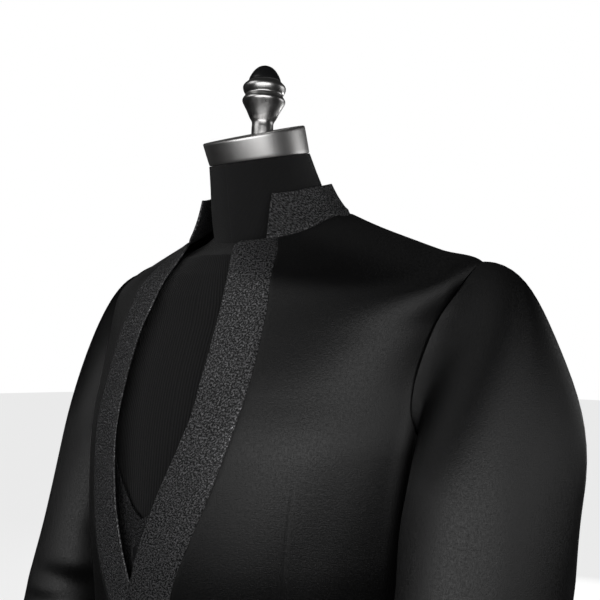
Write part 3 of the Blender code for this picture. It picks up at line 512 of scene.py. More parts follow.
def surface(row, reach):
    """Points of the jacket's outer face at these rows and reaches, before folds."""
    row, reach = np.broadcast_arrays(np.asarray(row, float), np.asarray(reach, float))
    side, back, away = side_reach(row), back_reach(row), np.abs(reach)
    past = (away - side) / (back - side)
    share = np.where(away <= side, away / side, 1 + np.where(past > 1, 2 - past, past))
    mirror = np.where(reach < 0, -1.0, 1.0) * np.where(past > 1, -1.0, 1.0)
    column = np.clip(share, 0, 2) * (len(HALF_SHARES) - 1)
    line = np.clip(row, 0, NECKLINE) / NECKLINE * (len(NET_ROWS) - 1)
    i = np.minimum(line.astype(int), len(NET_ROWS) - 2)
    j = np.minimum(column.astype(int), NET.shape[1] - 2)
    s, t = (line - i)[..., None], (column - j)[..., None]
    low = NET[i, j] * (1 - t) + NET[i, j + 1] * t
    high = NET[i + 1, j] * (1 - t) + NET[i + 1, j + 1] * t
    place = low * (1 - s) + high * s
    place[..., 0] *= mirror
    return place


def unit(vectors):
    return vectors / np.maximum(np.linalg.norm(vectors, axis=-1, keepdims=True), 1e-12)


def directions(row, reach):
    """The surface's unit directions: round the body, up the body and outward."""
    half_reach, half_row = 0.003, 0.05
    row, reach = np.broadcast_arrays(np.asarray(row, float), np.asarray(reach, float))
    low, high = np.maximum(row - half_row, 0), np.minimum(row + half_row, NECKLINE)
    around = surface(row, reach + half_reach) - surface(row, reach - half_reach)
    share = reach / side_reach(row)
    upward = surface(high, share * side_reach(high)) - surface(low, share * side_reach(low))
    outward = unit(np.cross(around, upward))
    upward = upward - outward * np.sum(upward * outward, axis=-1, keepdims=True)
    return unit(around), unit(upward), outward


def fold_depth(folds, across, height):
    """How far the soft folds sink the cloth at these places."""
    depth = np.zeros(np.broadcast(across, height).shape)
    for _, fold_across, fold_height, half_length, half_width, deep, slant in folds:
        turn = math.radians(slant)
        away, up = across - fold_across, height - fold_height
        along = (away * math.cos(turn) + up * math.sin(turn)) / half_length
        aside = (up * math.cos(turn) - away * math.sin(turn)) / half_width
        trough = np.exp(-aside**2)
        ridge = FOLD_RIDGE * np.exp(-((aside - FOLD_RIDGE_PLACE) ** 2))
        depth = depth + deep * np.exp(-along**2) * (trough - ridge)
    return depth


def mirrored_folds(folds, change):
    """The same folds on the body's other side, shifted a little and shallower, so that the sides differ."""
    aside, down = (shift * change for shift in MIRROR_SHIFTS)
    longer, wider, deeper = MIRROR_SHARES
    return tuple(
        (name, -across - aside, height - down, length * longer, width * wider, deep * deeper, 180 - slant)
        for name, across, height, length, width, deep, slant in folds
    )


def under_surface(row, reach, depth, folds=()):
    """Points this deep under the jacket's outer face, with the folds added."""
    place = surface(row, reach)
    outward = directions(row, reach)[2]
    sunk = depth + fold_depth(folds, reach, place[..., 2])
    return place - outward * np.asarray(sunk)[..., None]


# Meshes


def edited(mesh, step):
    """Does one bmesh step on a mesh."""
    maker = bmesh.new()
    maker.from_mesh(mesh)
    step(maker)
    maker.to_mesh(mesh)
    maker.free()


def linked(name, data):
    """An object of this data, in the scene."""
    obj = bpy.data.objects.new(name, data)
    bpy.context.scene.collection.objects.link(obj)
    return obj


def new_object(name, points, faces, uvs, look, smooth_angle):
    """A smooth-shaded mesh object that rides on the body, with a texture map in metres."""
    mesh = bpy.data.meshes.new(name)
    mesh.from_pydata([tuple(p) for p in points], [], faces)
    layer = mesh.uv_layers.new(name="cut")
    loops = np.empty(len(mesh.loops), np.int32)
    mesh.loops.foreach_get("vertex_index", loops)
    layer.data.foreach_set("uv", np.asarray(uvs, np.float32)[loops].ravel())
    edited(mesh, lambda maker: bmesh.ops.recalc_face_normals(maker, faces=maker.faces))
    mesh.shade_smooth()
    mesh.set_sharp_from_angle(angle=math.radians(smooth_angle))
    mesh.materials.append(LOOKS[look])
    obj = linked(name, mesh)
    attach(obj, "root")
    return obj


def grid_faces(number, flip=False):
    """Faces between neighbours in a grid of point numbers."""
    a, b, c, d = number[:-1, :-1], number[:-1, 1:], number[1:, 1:], number[1:, :-1]
    return np.stack((a, d, c, b) if flip else (a, b, c, d), axis=2).reshape(-1, 4).tolist()


def lifted(grid):
    """The grid's points with heights counted from the floor."""
    return np.asarray(grid, float) + np.array((0, 0, NECK_POINT_Z))


def walked(points, axis):
    """Distance from the first line of a grid, along this axis."""
    steps = np.linalg.norm(np.diff(points, axis=axis), axis=2)
    shape = list(steps.shape)
    shape[axis] = 1
    return np.concatenate((np.zeros(shape), np.cumsum(steps, axis=axis)), axis=axis)


def measured(points):
    """Distances along and across a grid of points, in metres, as a texture map."""
    across, along = walked(points, 1), walked(points, 0)
    across -= across[:, across.shape[1] // 2][:, None]
    middle = along[:, along.shape[1] // 2]
    return np.stack((across, np.broadcast_to(middle[:, None], across.shape)), axis=2)


def shell(name, outer, inner, look):
    """A cloth wall between two grids of points, closed round its rim, in place of the part's node; its area
    and flat size are worked out but not used.
    """
    uvs = measured(outer).reshape(-1, 2)
    outer, inner = lifted(outer), lifted(inner)
    number = np.arange(len(uvs)).reshape(outer.shape[:2])
    points = np.concatenate((outer.reshape(-1, 3), inner.reshape(-1, 3)))
    rim = np.concatenate((number[:, 0], number[-1, 1:], number[-2::-1, -1], number[0, -2:0:-1]))
    after = np.roll(rim, -1)
    faces = grid_faces(number) + grid_faces(number + len(uvs), flip=True)
    faces += np.stack((rim, after, after + len(uvs), rim + len(uvs)), axis=1).tolist()
    obj = new_object(name + "_cloth", points, faces, np.concatenate((uvs, uvs)), look, CLOTH_SHARP_ANGLE)
    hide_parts(name)
    middle = (outer + inner) / 2
    up, across = np.diff(middle, axis=0), np.diff(middle, axis=1)
    area = 0.5 * np.linalg.norm(np.cross(up[:, :-1], across[:-1]), axis=2).sum()
    area += 0.5 * np.linalg.norm(np.cross(up[:, 1:], across[1:]), axis=2).sum()
    width = np.linalg.norm(across, axis=2).sum(axis=1).max()
    length = np.linalg.norm(up, axis=2).sum(axis=0).max()
    width, length = (math.ceil(size * FLAT_STEPS) / FLAT_STEPS for size in (width, length))


def edge_shares(length, count, end_edge=True):
    """Shares across a piece: even ones, and extra lines beside its edges."""
    keep = np.linspace(0, 1, count + 1)
    extra = np.array(EDGE_LINES) / length
    clear = extra[-1] * EDGE_CLEAR
    keep = np.concatenate((extra, keep[(keep > clear) | (keep > 0.5)]))
    if end_edge:
        keep = np.concatenate((keep[(keep < 1 - clear) | (keep < 0.5)], 1 - extra[::-1]))
    return np.unique(np.round(keep, 6))


def rolled(distance):
    """How far a turned free edge curves in towards the middle of its wall, at this distance from the edge."""
    near = np.clip(1 - distance / ROLL, 0, 1)
    return 1 - np.sqrt(np.clip(1 - near**2, 0, 1))


def seamed(distance):
    """How deep the cloth sinks beside a seam, at this distance from it."""
    groove = SEAM_SINK * np.exp(-((distance / SEAM_FADE) ** 2))
    return groove + SEAM_HOLLOW * np.exp(-distance / SEAM_HOLLOW_FADE)


def edge_profiles(points, edges):
    """Sinking of the outer face and rising of the inner one beside a grid's edges.

    edges says "free" or "seam" for the start column, end column, first row and last row.
    """
    sink = np.zeros(points.shape[:2])
    lift = np.zeros(points.shape[:2])
    for kind, axis, back in zip(edges, (1, 1, 0, 0), (False, True, False, True)):
        distance = walked(points, axis)
        if back:
            distance = (distance[:, -1:] if axis == 1 else distance[-1:, :]) - distance
        if kind == "free":
            roll = rolled(distance) * ROLL_SHARE
            sink = np.maximum(sink, roll)
            lift = np.maximum(lift, roll)
        else:
            sink = sink + seamed(distance) / (JACKET_WALL / 2)
    return sink, lift


def wall_faces(base, outward, wall, edges, raised=0.0):
    """The outer and inner points of a wall that hangs under this grid, shaped beside its edges."""
    sink, lift = edge_profiles(base, edges)
    half = wall / 2
    outer = base - outward * (np.minimum(sink - raised, 1.0) * half)[..., None]
    inner = base - outward * (wall - np.minimum(lift, 1.0) * half)[..., None]
    return outer, inner


def panel(name, edges, first, second, columns, depth, wall, look, side, folds, seam_reach=None, darted=False):
    """A cut piece between two edges, each given by its rows and its reaches past the side line.

    depth says how deep the cloth lies. With a seam_reach the columns run evenly to that reach and
    bend to the second edge only near it. A darted piece has the dart and the extra columns that it needs.
    """
    (rows_first, reach_first), (rows_second, reach_second) = first, second
    shares = edge_shares(MEAN_WIDTH * columns * CLOTH_STEP, columns)
    if darted:
        start, end = DART_STRETCH
        shares = shares[(shares < start) | (shares > end)]
        shares = np.sort(np.concatenate((shares, np.linspace(start, end, DART_COLUMNS))))
    row = rows_first[:, None] + (rows_second - rows_first)[:, None] * shares
    seam = reach_second if seam_reach is None else seam_reach
    offset = reach_first[:, None] + (seam - reach_first)[:, None] * shares
    offset = offset + (reach_second - seam)[:, None] * shares**3
    reach = side_reach(row) + offset
    base = under_surface(row, side * reach, depth(row, reach), folds)
    outward = directions(row, side * reach)[2]
    if darted:
        base = base - outward * dart_depth(row, reach)[..., None]
    outer, inner = wall_faces(base, outward, wall, edges)
    shell(name, outer, inner, look)


# The jacket


def lengthwise():
    """Places along the fronts' and backs' edges: rows to the underarm, shares of the armhole, rows above."""
    skirt = np.linspace(0, ARMPIT, SKIRT_STEPS + 1)
    skirt = np.concatenate((HEM_LINES, skirt[1:]))
    arm = np.linspace(0, 1, ARM_STEPS + 1)[1:]
    yoke = np.linspace(SHOULDER, NECKLINE, YOKE_STEPS + 1)[1:]
    yoke = np.concatenate((yoke[:-1], NECKLINE - np.array(NECK_LINES)))
    return skirt, arm, np.unique(yoke)


def outer_edge(column):
    """Rows and reaches past the side line of the side seam, then the armhole, then the shoulder seam."""
    skirt, arm, yoke = lengthwise()
    beside = through(ARMHOLE, arm * (len(ARMHOLE) - 1))
    rows = np.concatenate((skirt, beside[:, 0], yoke))
    offsets = np.concatenate((np.full(len(skirt), SIDE_SEAM_BACK), beside[:, column], np.zeros(len(yoke))))
    return rows, offsets


def middle_rows():
    skirt, arm, yoke = lengthwise()
    return np.concatenate((skirt, ARMPIT + (SHOULDER - ARMPIT) * arm, yoke))


def flush(row, reach):
    """The depth of a piece whose outer face is the jacket's."""
    return np.zeros(row.shape)


def lap_depth(row, reach):
    """How deep the right front lies where the left one laps it."""
    return LAP_DROP * eased(reach, LAP_END_REACH, LAP_FULL_REACH) * eased(row, LAP_END_ROW, LAP_FULL_ROW)


def dart_depth(row, reach):
    """A stitched dart below the chest: a fine groove between two ridges, which fades at both ends."""
    line = DART_REACH + (row - DART_LOW_ROW) * DART_LEAN
    fade_in = eased(row, DART_LOW_ROW - DART_LOW_FADE, DART_LOW_ROW)
    fade_out = eased(row, DART_HIGH_ROW, DART_HIGH_ROW - DART_HIGH_FADE)
    aside = (reach - line) / DART_WIDTH
    ridges = np.exp(-((np.abs(aside) - DART_RIDGE_PLACE) ** 2))
    return fade_in * fade_out * (DART_DEPTH * np.exp(-aside**2) - DART_RIDGE * DART_DEPTH * ridges)


def make_front(name, side):
    """A front and its strip."""
    edge_column, seam_column = (1, 3) if side > 0 else (2, 4)
    half = SEAM_GAP / 2
    rows = middle_rows()
    middle = side_reach(rows)
    corner = STRIP_CORNER_REACH * eased(rows, STRIP_CORNER_ROW, NECKLINE) ** 2
    front_edge = smooth_lookup(FRONT_EDGES, rows, edge_column) + corner - middle
    seam = smooth_lookup(FRONT_EDGES, rows, seam_column) - middle
    outer_rows, outer_offsets = outer_edge(1)
    folds = BODY_FOLDS + (FRONT_CREASES if side > 0 else mirrored_folds(FRONT_CREASES, 1.0))
    depth = flush if side > 0 else lap_depth
    panel("jacket_strip_" + name, ("free", "seam", "free", "free"), (rows, front_edge), (rows, seam - half),
          STRIP_COLUMNS, depth, JACKET_WALL, "brocade", side, folds)
    panel("jacket_front_" + name, ("seam", "seam", "free", "seam"), (rows, seam + half),
          (outer_rows, outer_offsets - half), FRONT_COLUMNS, depth, JACKET_WALL, "suiting", side, folds,
          SIDE_SEAM_BACK, darted=True)


def make_back(name, side):
    half = SEAM_GAP / 2
    rows = middle_rows()
    centre = back_reach(rows) - half - side_reach(rows)
    outer_rows, outer_offsets = outer_edge(2)
    folds = BODY_FOLDS + (BACK_CREASES if side > 0 else mirrored_folds(BACK_CREASES, -1.0))
    panel("jacket_back_" + name, ("seam", "seam", "free", "seam"), (rows, centre),
          (outer_rows, outer_offsets + half), BACK_COLUMNS, flush, JACKET_WALL, "suiting", side, folds,
          SIDE_SEAM_BACK)


def make_collar():
    """The open-fronted stand collar, on the neckline from one front end round the back to the other."""
    top_points, _ = half_ring(COLLAR_TOP)
    _, reaches = half_ring(through(RING_SIZES, NECKLINE))
    half_length = back_reach(NECKLINE) - COLLAR_END_REACH
    left = COLLAR_END_REACH + half_length * edge_shares(half_length, COLLAR_COLUMNS, end_edge=False)
    reach = np.concatenate((left, left[-2::-1]))
    side = np.concatenate((np.ones(len(left)), -np.ones(len(left) - 1)))
    around, upward, outward = directions(np.full(reach.shape, float(NECKLINE)), reach)
    slanted = reach + COLLAR_END_SLANT * eased(reach, COLLAR_SLANT_REACH, COLLAR_END_REACH)
    turn = np.interp(slanted, reaches, TURNS)
    top = np.stack([np.interp(turn, TURNS, top_points[:, axis]) for axis in range(3)], axis=1)
    foot = surface(NECKLINE, reach) + upward * SEAM_GAP
    rise = top - foot
    face = unit(np.cross(around, rise))
    height = float(np.linalg.norm(rise, axis=1).mean())
    places, facings = [], []
    for share in edge_shares(height, COLLAR_ROWS):
        turned = min(share * COLLAR_FOOT_TURN, 1)
        facings.append(unit(outward * (1 - turned) + face * turned))
        places.append(foot + rise * share - face * COLLAR_HOLLOW * math.sin(math.pi * share))
    place, facing = np.array(places), np.array(facings)
    place[..., 0] *= side
    facing[..., 0] *= side
    raised = COLLAR_RIDGE * np.exp(-(((walked(place, 0) - COLLAR_RIDGE_UP) / COLLAR_RIDGE_WIDTH) ** 2))
    outer, inner = wall_faces(place, facing, COLLAR_WALL, ("free", "free", "seam", "free"), raised)
    shell("jacket_collar", outer, inner, "brocade")


# The sleeves


def sleeve_ring(position, turns):
    """Points of the sleeve at a position counted in sections, at these turns from the inner side."""
    height, x, y, half_thick, half_deep, turn = through(SLEEVE_SIZES, position)
    angle = math.radians(turn)
    forward = np.array((-math.sin(angle), -math.cos(angle), 0))
    aside = np.array((math.cos(angle), -math.sin(angle), 0))
    centre = np.array((x, y, height))
    outside = (1 - np.cos(turns)) / 2
    power = 1 + (2 / SLEEVE_SQUARENESS - 1) * outside
    cosine, sine = (np.sign(wave) * np.abs(wave) ** power for wave in (np.cos(turns), np.sin(turns)))
    return centre - np.outer(cosine, aside) * half_thick + np.outer(sine, forward) * half_deep


def armhole_loop(side):
    """The armhole's edge round from the underarm, each point's turn, and the way along the body's cloth."""
    samples = through(ARMHOLE, np.linspace(0, len(ARMHOLE) - 1, ARM_STEPS + 1))
    rows = samples[:, 0]
    halves, turns, flats = [], [], []
    for column, way in ((1, 1), (2, -1)):
        reach = side_reach(rows) + samples[:, column]
        half = under_surface(rows, side * reach, 0, BODY_FOLDS) * np.array((side, 1, 1))
        gone = np.concatenate(([0], np.cumsum(np.linalg.norm(np.diff(half, axis=0), axis=1))))
        halves.append(half)
        turns.append(math.pi * gone / gone[-1])
        flats.append(directions(rows, reach)[0] * way)
    behind = slice(-2, 0, -1)
    loop = np.concatenate((halves[0], halves[1][behind]))
    turns = np.concatenate((turns[0], 2 * math.pi - turns[1][behind]))
    return loop, turns, np.concatenate((flats[0], flats[1][behind]))


def sleeve_rows(loop, turns, leave):
    """The sleeve's rows of points: out of the armhole, over the sleeve head and down the arm."""
    start = loop + np.array((SLEEVE_SEAM_SLIT, 0, 0))
    upper = sleeve_ring(0, turns)
    arrive = unit(sleeve_ring(0.05, turns) - upper)
    span = np.linalg.norm(upper - start, axis=1)[:, None]
    leave_pull = span * SLEEVE_HEAD_PULL * leave
    arrive_pull = span * SLEEVE_ARM_PULL * arrive
    rows = []
    for share in CAP_SHARES:
        there = share * share * (3 - 2 * share)
        row = start * (1 - there) + upper * there
        row = row + share * (1 - share) ** 2 * leave_pull
        rows.append(row - share**2 * (1 - share) * arrive_pull)
    last = len(SLEEVE_SIZES) - 1
    positions = np.linspace(0, last, SLEEVE_STEPS + 1)[1:]
    for position in np.concatenate((positions[:-1], last - np.array(CUFF_LINES))):
        rows.append(sleeve_ring(position, turns))
    return np.array(rows)


def round_arm(folds, girth):
    """A sleeve's folds, with their turns as distances round an arm of this mean radius."""
    return [(name, math.radians(turn) * girth, *rest) for name, turn, *rest in folds]


def sleeve_sinking(rows, turns, fold_shift):
    """How deep each point of the sleeve lies for the folds, the creases and the ripple of the eased seam."""
    cap = len(CAP_SHARES) - 1
    sunk = np.zeros(rows.shape[:2])
    for i, row in enumerate(rows):
        girth = (np.ptp(row[:, 0]) + np.ptp(row[:, 1])) / 4 if i >= cap else HEAD_GIRTH
        fade, own = (np.clip((i - first) / FOLD_FADE_ROWS, 0, 1) for first in (cap, CREASE_FIRST_ROW))
        sunk[i] = fade * fold_depth(round_arm(SLEEVE_FOLDS, girth), turns * girth, row[:, 2] + fold_shift)
        shift = fold_shift * CREASE_SHIFT
        sunk[i] += own * fold_depth(round_arm(SLEEVE_CREASES, girth), turns * girth, row[:, 2] + shift)
    along = (turns - EASE_START) / (2 * math.pi - 2 * EASE_START) * math.pi
    ripple = np.sin(turns * EASE_WAVES + np.sin(turns * EASE_DRIFT)) * np.clip(np.sin(along), 0, 1)
    near = np.exp(-(((walked(rows, 0) - EASE_PLACE) / EASE_WIDTH) ** 2))
    return sunk + EASE_DEPTH * ripple[None, :] * near


def with_edge_lines(grid):
    """The grid with extra columns close beside its first and last ones."""
    first = [grid[:, :1] * (1 - s) + grid[:, 1:2] * s for s in SLEEVE_EDGE_SHARES]
    last = [grid[:, -1:] * (1 - s) + grid[:, -2:-1] * s for s in SLEEVE_EDGE_SHARES[::-1]]
    return np.concatenate((grid[:, :1], *first, grid[:, 1:-1], *last, grid[:, -1:]), axis=1)


def make_sleeve(name, side, fold_shift):
    """A sleeve of two pieces, open at the cuff."""
    loop, turns, flat = armhole_loop(side)
    high = (1 - np.cos(turns)) / 2
    share = (SLEEVE_HEAD_FLAT * high * np.abs(np.sin(turns)))[:, None]
    leave = unit(flat * share + np.array((1.0, 0, 0)) * (1 - share))
    rows = sleeve_rows(loop, turns, leave)
    around = np.roll(rows, -1, axis=1) - np.roll(rows, 1, axis=1)
    facing = unit(np.cross(around, np.gradient(rows, axis=0)))
    ring_way = np.roll(loop, -1, axis=0) - np.roll(loop, 1, axis=0)
    across = unit(np.cross(ring_way, leave))
    turning = flat * HEAD_TURNING + unit(np.cross(ring_way, flat)) * HEAD_TURNING_DROP
    for i, share in enumerate(np.clip(1 - CAP_SHARES / HEAD_BLEND, 0, 1)):
        facing[i] = unit(facing[i] * (1 - share) + across * share)
    sunk = sleeve_sinking(rows, turns, fold_shift)
    mirror = np.array((side, 1, 1))
    count = len(turns)
    front, hind = SLEEVE_SEAM_COLUMN, count - SLEEVE_SEAM_COLUMN
    pieces = (
        ("jacket_top_sleeve_", np.arange(front, hind + 1)),
        ("jacket_under_sleeve_", np.arange(hind, count + front + 1) % count),
    )
    for piece, columns in pieces:
        base = with_edge_lines((rows - facing * sunk[..., None])[:, columns])
        normal = unit(with_edge_lines(facing[:, columns]))
        for edge, neighbour in ((0, 1), (-1, -2)):
            way = unit(base[:, neighbour] - base[:, edge])
            base[:, edge] += way * SLEEVE_SEAM_SLIT / 2
        outer, inner = wall_faces(base, normal, SLEEVE_WALL, ("seam", "seam", "seam", "free"))
        inner[0] = base[0] - with_edge_lines(turning[None, columns])[0]
        shell(piece + name, outer * mirror, inner * mirror, "suiting")


# The waistcoat


def waistcoat_depth(row):
    return np.interp(row, LAYERS[:, 0], LAYERS[:, 1])


def waistcoat_lines(table, strap_end, count):
    """A waistcoat table with its last row put on the shoulder line, read at this many positions."""
    table = np.vstack((table, strap_end))
    positions = np.linspace(0, len(table) - 1, count)
    positions = np.unique(np.concatenate((positions, WAISTCOAT_HEM_LINES)))
    lines = through(table, positions).T
    lines[-1] = np.where(lines[-2] < WAISTCOAT_UNDERARM_ROW, SIDE_SEAM_BACK, lines[-1])
    return lines


def make_waistcoat_front(name, side):
    strap_end = (STRAP_INNER_ROW, side_reach(STRAP_INNER_ROW), STRAP_OUTER_ROW, 0.0)
    lines = waistcoat_lines(WAISTCOAT_FRONT, strap_end, WAISTCOAT_FRONT_ROWS)
    neck_row, neck_reach, arm_row, past_side = lines
    drift = side * WAISTCOAT_SHIFT * eased(neck_row, *WAISTCOAT_SHIFT_ROWS)
    neck = neck_reach + drift - side_reach(neck_row)
    neck[-1] -= SEAM_GAP / 2

    def depth(row, reach):
        if side > 0:
            return waistcoat_depth(row)
        lapped = eased(reach, *WAISTCOAT_LAP_REACHES)
        return waistcoat_depth(row) + WAISTCOAT_LAP_DROP * lapped * eased(row, *WAISTCOAT_LAP_ROWS)

    panel("waistcoat_front_" + name, ("free", "free", "free", "free"), (neck_row, neck),
          (arm_row, past_side - SEAM_GAP / 2), WAISTCOAT_COLUMNS, depth, WAISTCOAT_WALL, "vesting", side, ())


def make_waistcoat_back():
    """One piece from side seam to side seam, its neck just under the collar."""
    lines = waistcoat_lines(WAISTCOAT_BACK, (STRAP_OUTER_ROW, 0.0), WAISTCOAT_BACK_ROWS)
    arm_row, past_side = lines
    centre_row = arm_row + (STRAP_INNER_ROW - STRAP_OUTER_ROW) * eased(arm_row, BLADE_ROW, STRAP_OUTER_ROW)
    half = 1 - edge_shares(WAISTCOAT_BACK_HALF, WAISTCOAT_COLUMNS, end_edge=False)
    shares = np.concatenate((-half, half[::-1][1:]))
    away = np.abs(shares)
    row = np.where(
        arm_row[:, None] > BLADE_ROW,
        centre_row[:, None] + (arm_row - centre_row)[:, None] * eased(away, BACK_NECK_SHARE, 1.0),
        arm_row[:, None] + 0 * away,
    )
    side = np.where(shares > 0, 1.0, -1.0)
    start = side_reach(row) + past_side[:, None] + SEAM_GAP / 2
    reach = start + (back_reach(row) - start) * (1 - away)
    base = under_surface(row, side * reach, waistcoat_depth(row))[:, ::-1]
    outward = directions(row, side * reach)[2][:, ::-1]
    outer, inner = wall_faces(base, outward, WAISTCOAT_WALL, ("free", "free", "free", "free"))
    shell("waistcoat_back", outer, inner, "vesting")


# Turned pieces and buttons


def circle(sides, first=(1, 0, 0), second=(0, 1, 0)):
    """Points of a unit circle that runs from the first direction towards the second."""
    turns = np.linspace(0, 2 * math.pi, sides, endpoint=False)
    return np.outer(np.cos(turns), first) + np.outer(np.sin(turns), second)


def lofted(name, rings, look, node):
    """A closed solid through rings of points, with a texture map of distances in metres."""
    rings = lifted(rings)
    around = np.concatenate((rings, rings[:, :1]), axis=1)
    gone, up = walked(around, 1), walked(around, 0)
    across = gone / np.maximum(gone[:, -1:], 1e-9) * gone[:, -1].max()
    uvs = np.stack((across, np.broadcast_to(up[:, :1], across.shape)), axis=2).reshape(-1, 2)
    count = len(uvs)
    number = np.arange(count).reshape(around.shape[:2])
    faces = grid_faces(number)
    points = np.concatenate((around.reshape(-1, 3), (rings[0].mean(axis=0), rings[-1].mean(axis=0))))
    for low, high in zip(number[0], number[-1]):
        if low < number[0, -1]:
            faces += [(low + 1, low, count), (high, high + 1, count + 1)]
    uvs = np.concatenate((uvs, ((0, 0), (0, float(up[-1, 0])))))
    obj = new_object(name, points, faces, uvs, look, LOFT_SHARP_ANGLE)
    edited(obj.data, lambda maker: bmesh.ops.remove_doubles(maker, verts=maker.verts, dist=1e-6))
    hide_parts(node)


def make_button(name, sizes, place, reach, depth):
    """A domed, cloth-covered button on the outer face of the layer at this depth."""
    radius, thickness = sizes
    row, standoff = place
    row_list, reach_list = np.array([float(row)]), np.array([float(reach)])
    outward = directions(row_list, reach_list)[2][0]
    seat = under_surface(row_list, reach_list, depth - standoff)[0]
    aside = unit(np.cross((0, 0, 1), outward))
    rim = circle(BUTTON_SIDES, aside, np.cross(outward, aside))
    rings = [seat + outward * thickness * up + rim * radius * out for out, up in BUTTON_PROFILE]
    lofted(name + "_dome", rings, "button", name)


def make_buttons():
    make_button("jacket_button", JACKET_BUTTON, JACKET_BUTTON_PLACE, JACKET_BUTTON_REACH, 0.0)
    for number, place in enumerate(WAISTCOAT_BUTTON_PLACES, 1):
        depth = float(waistcoat_depth(place[0]))
        make_button(f"waistcoat_button_{number}", WAISTCOAT_BUTTON, place, WAISTCOAT_SHIFT, depth)


# The dress form and its stand


def leaning_ring(height, y, radius, rise, turns, lift=0.0):
    """A round section of the neck, its plane rising towards the back."""
    step = radius * np.cos(turns)
    return np.stack((radius * np.sin(turns), y - step, height + lift - rise * step), axis=1)


def cap_plane(y):
    """The height of the neck cap's top at this distance behind the form's middle."""
    _, height, centre_y, _, _ = NECK_SECTIONS[-1]
    top_y = centre_y - CAP_BAND_LEAN * CAP_BAND_HEIGHT
    return height + SEAM_GAP + CAP_BAND_HEIGHT + CAP_TOP_RISE * (y - top_y)


def torso_ring(row, turns):
    """The form's ring at this row, under the jacket and the waistcoat."""
    folded = np.where(turns <= math.pi, turns, 2 * math.pi - turns)
    _, reaches = half_ring(through(RING_SIZES, row))
    reach = np.interp(folded, TURNS, reaches)
    beside = np.abs(reach - side_reach(row))
    drop = FORM_SHOULDER_DROP * eased(beside, *FORM_DROP_REACHES) * eased(row, *FORM_DROP_ROWS)
    depth = np.interp(row, LAYERS[:, 0], LAYERS[:, 2])
    sides = np.where(turns <= math.pi, 1.0, -1.0)
    return under_surface(np.full(reach.shape, row), sides * reach, depth + drop)


def make_form():
    """The torso with its neck, and the neck cap's band. Gives back the height of the torso's underside."""
    turns = np.linspace(0, 2 * math.pi, FORM_SIDES, endpoint=False)
    positions = np.linspace(0, len(FORM_ROWS) - 1, FORM_STEPS)
    rings = [torso_ring(row, turns) for row in np.interp(positions, np.arange(len(FORM_ROWS)), FORM_ROWS)]
    bottom = rings[0][:, 2].mean()
    rings[0][:, 2] = bottom
    necks = np.array([section[1:] for section in NECK_SECTIONS])
    first_neck, last_torso = leaning_ring(*necks[0], turns), rings[-1]
    for share in np.linspace(0, 1, NECK_BLEND_STEPS + 1)[1:-1]:
        curve = last_torso * (1 - share) + first_neck * share
        pulled = curve - curve.mean(axis=0)
        pulled[:, 2] = 0
        rings.append(curve - unit(pulled) * (NECK_HOLLOW * math.sin(math.pi * share)))
    for position in np.linspace(0, len(necks) - 1, NECK_STEPS):
        rings.append(leaning_ring(*through(necks, position), turns))
    lofted("form_body", rings, "jersey", "form_torso")

    _, height, y, _, rise = NECK_SECTIONS[-1]
    band = []
    for inset, up in CAP_BAND_PROFILE:
        tilt = rise + (CAP_TOP_RISE - rise) * up / CAP_BAND_HEIGHT
        middle, radius = y - CAP_BAND_LEAN * up, CAP_BAND_RADIUS - inset
        band.append(leaning_ring(height, middle, radius, tilt, turns, SEAM_GAP + up))
    lofted("form_cap_band", band, "band", "form_neck_cap")
    return bottom


def make_finial():
    """The turned knob, leaning a little back, on the cap's sloping top."""
    rim = circle(FINIAL_SIDES, (0, -1, 0), (1, 0, 0))
    seat = cap_plane(FINIAL_Y)
    foot = rim * FINIAL_PROFILE[0][0] + (0, FINIAL_Y, 0)
    foot[:, 2] = cap_plane(foot[:, 1]) + SEAM_GAP
    rings = [foot]
    for radius, height in through(FINIAL_PROFILE, np.linspace(0, len(FINIAL_PROFILE) - 1, FINIAL_STEPS)):
        ring = rim * radius + (0, FINIAL_Y + FINIAL_LEAN * height, seat + height)
        ring[:, 2] -= FINIAL_LEAN * rim[:, 1] * radius
        rings.append(ring)
    lofted("form_knob", rings, "finial", "form_finial")


def make_stand(form_bottom):
    """The round base with its rounded rim, and the pole up to the form."""
    rim = circle(STAND_SIDES)

    def turned(profile, foot):
        return [rim * radius + (0, 0, foot + height) for radius, height in profile]

    edge, flat_radius = BASE_BEVEL, BASE_RADIUS - BASE_BEVEL
    arc = np.linspace(0, math.pi / 2, BASE_BEVEL_STEPS + 1)
    outline = [(flat_radius + edge * math.cos(a), edge - edge * math.sin(a)) for a in arc[::-1]]
    outline += [(flat_radius + edge * math.cos(a), BASE_HEIGHT - edge + edge * math.sin(a)) for a in arc]
    outline += [(radius, BASE_HEIGHT) for radius in BASE_TOP_RADII]
    lofted("stand_disc", turned(outline, -NECK_POINT_Z), "stand", "stand_base")

    low = BASE_HEIGHT + SEAM_GAP - NECK_POINT_Z
    top = form_bottom - SEAM_GAP
    heights = np.linspace(POLE_CLEAR_LOW, top - low - POLE_CLEAR_HIGH, POLE_RINGS)
    rings = turned(POLE_FOOT_PROFILE, low) + turned([(POLE_RADIUS, height) for height in heights], low)
    rings += turned([(radius, -below) for radius, below in POLE_TOP_PROFILE], top)
    lofted("stand_post", rings, "stand", "stand_pole")


# Materials


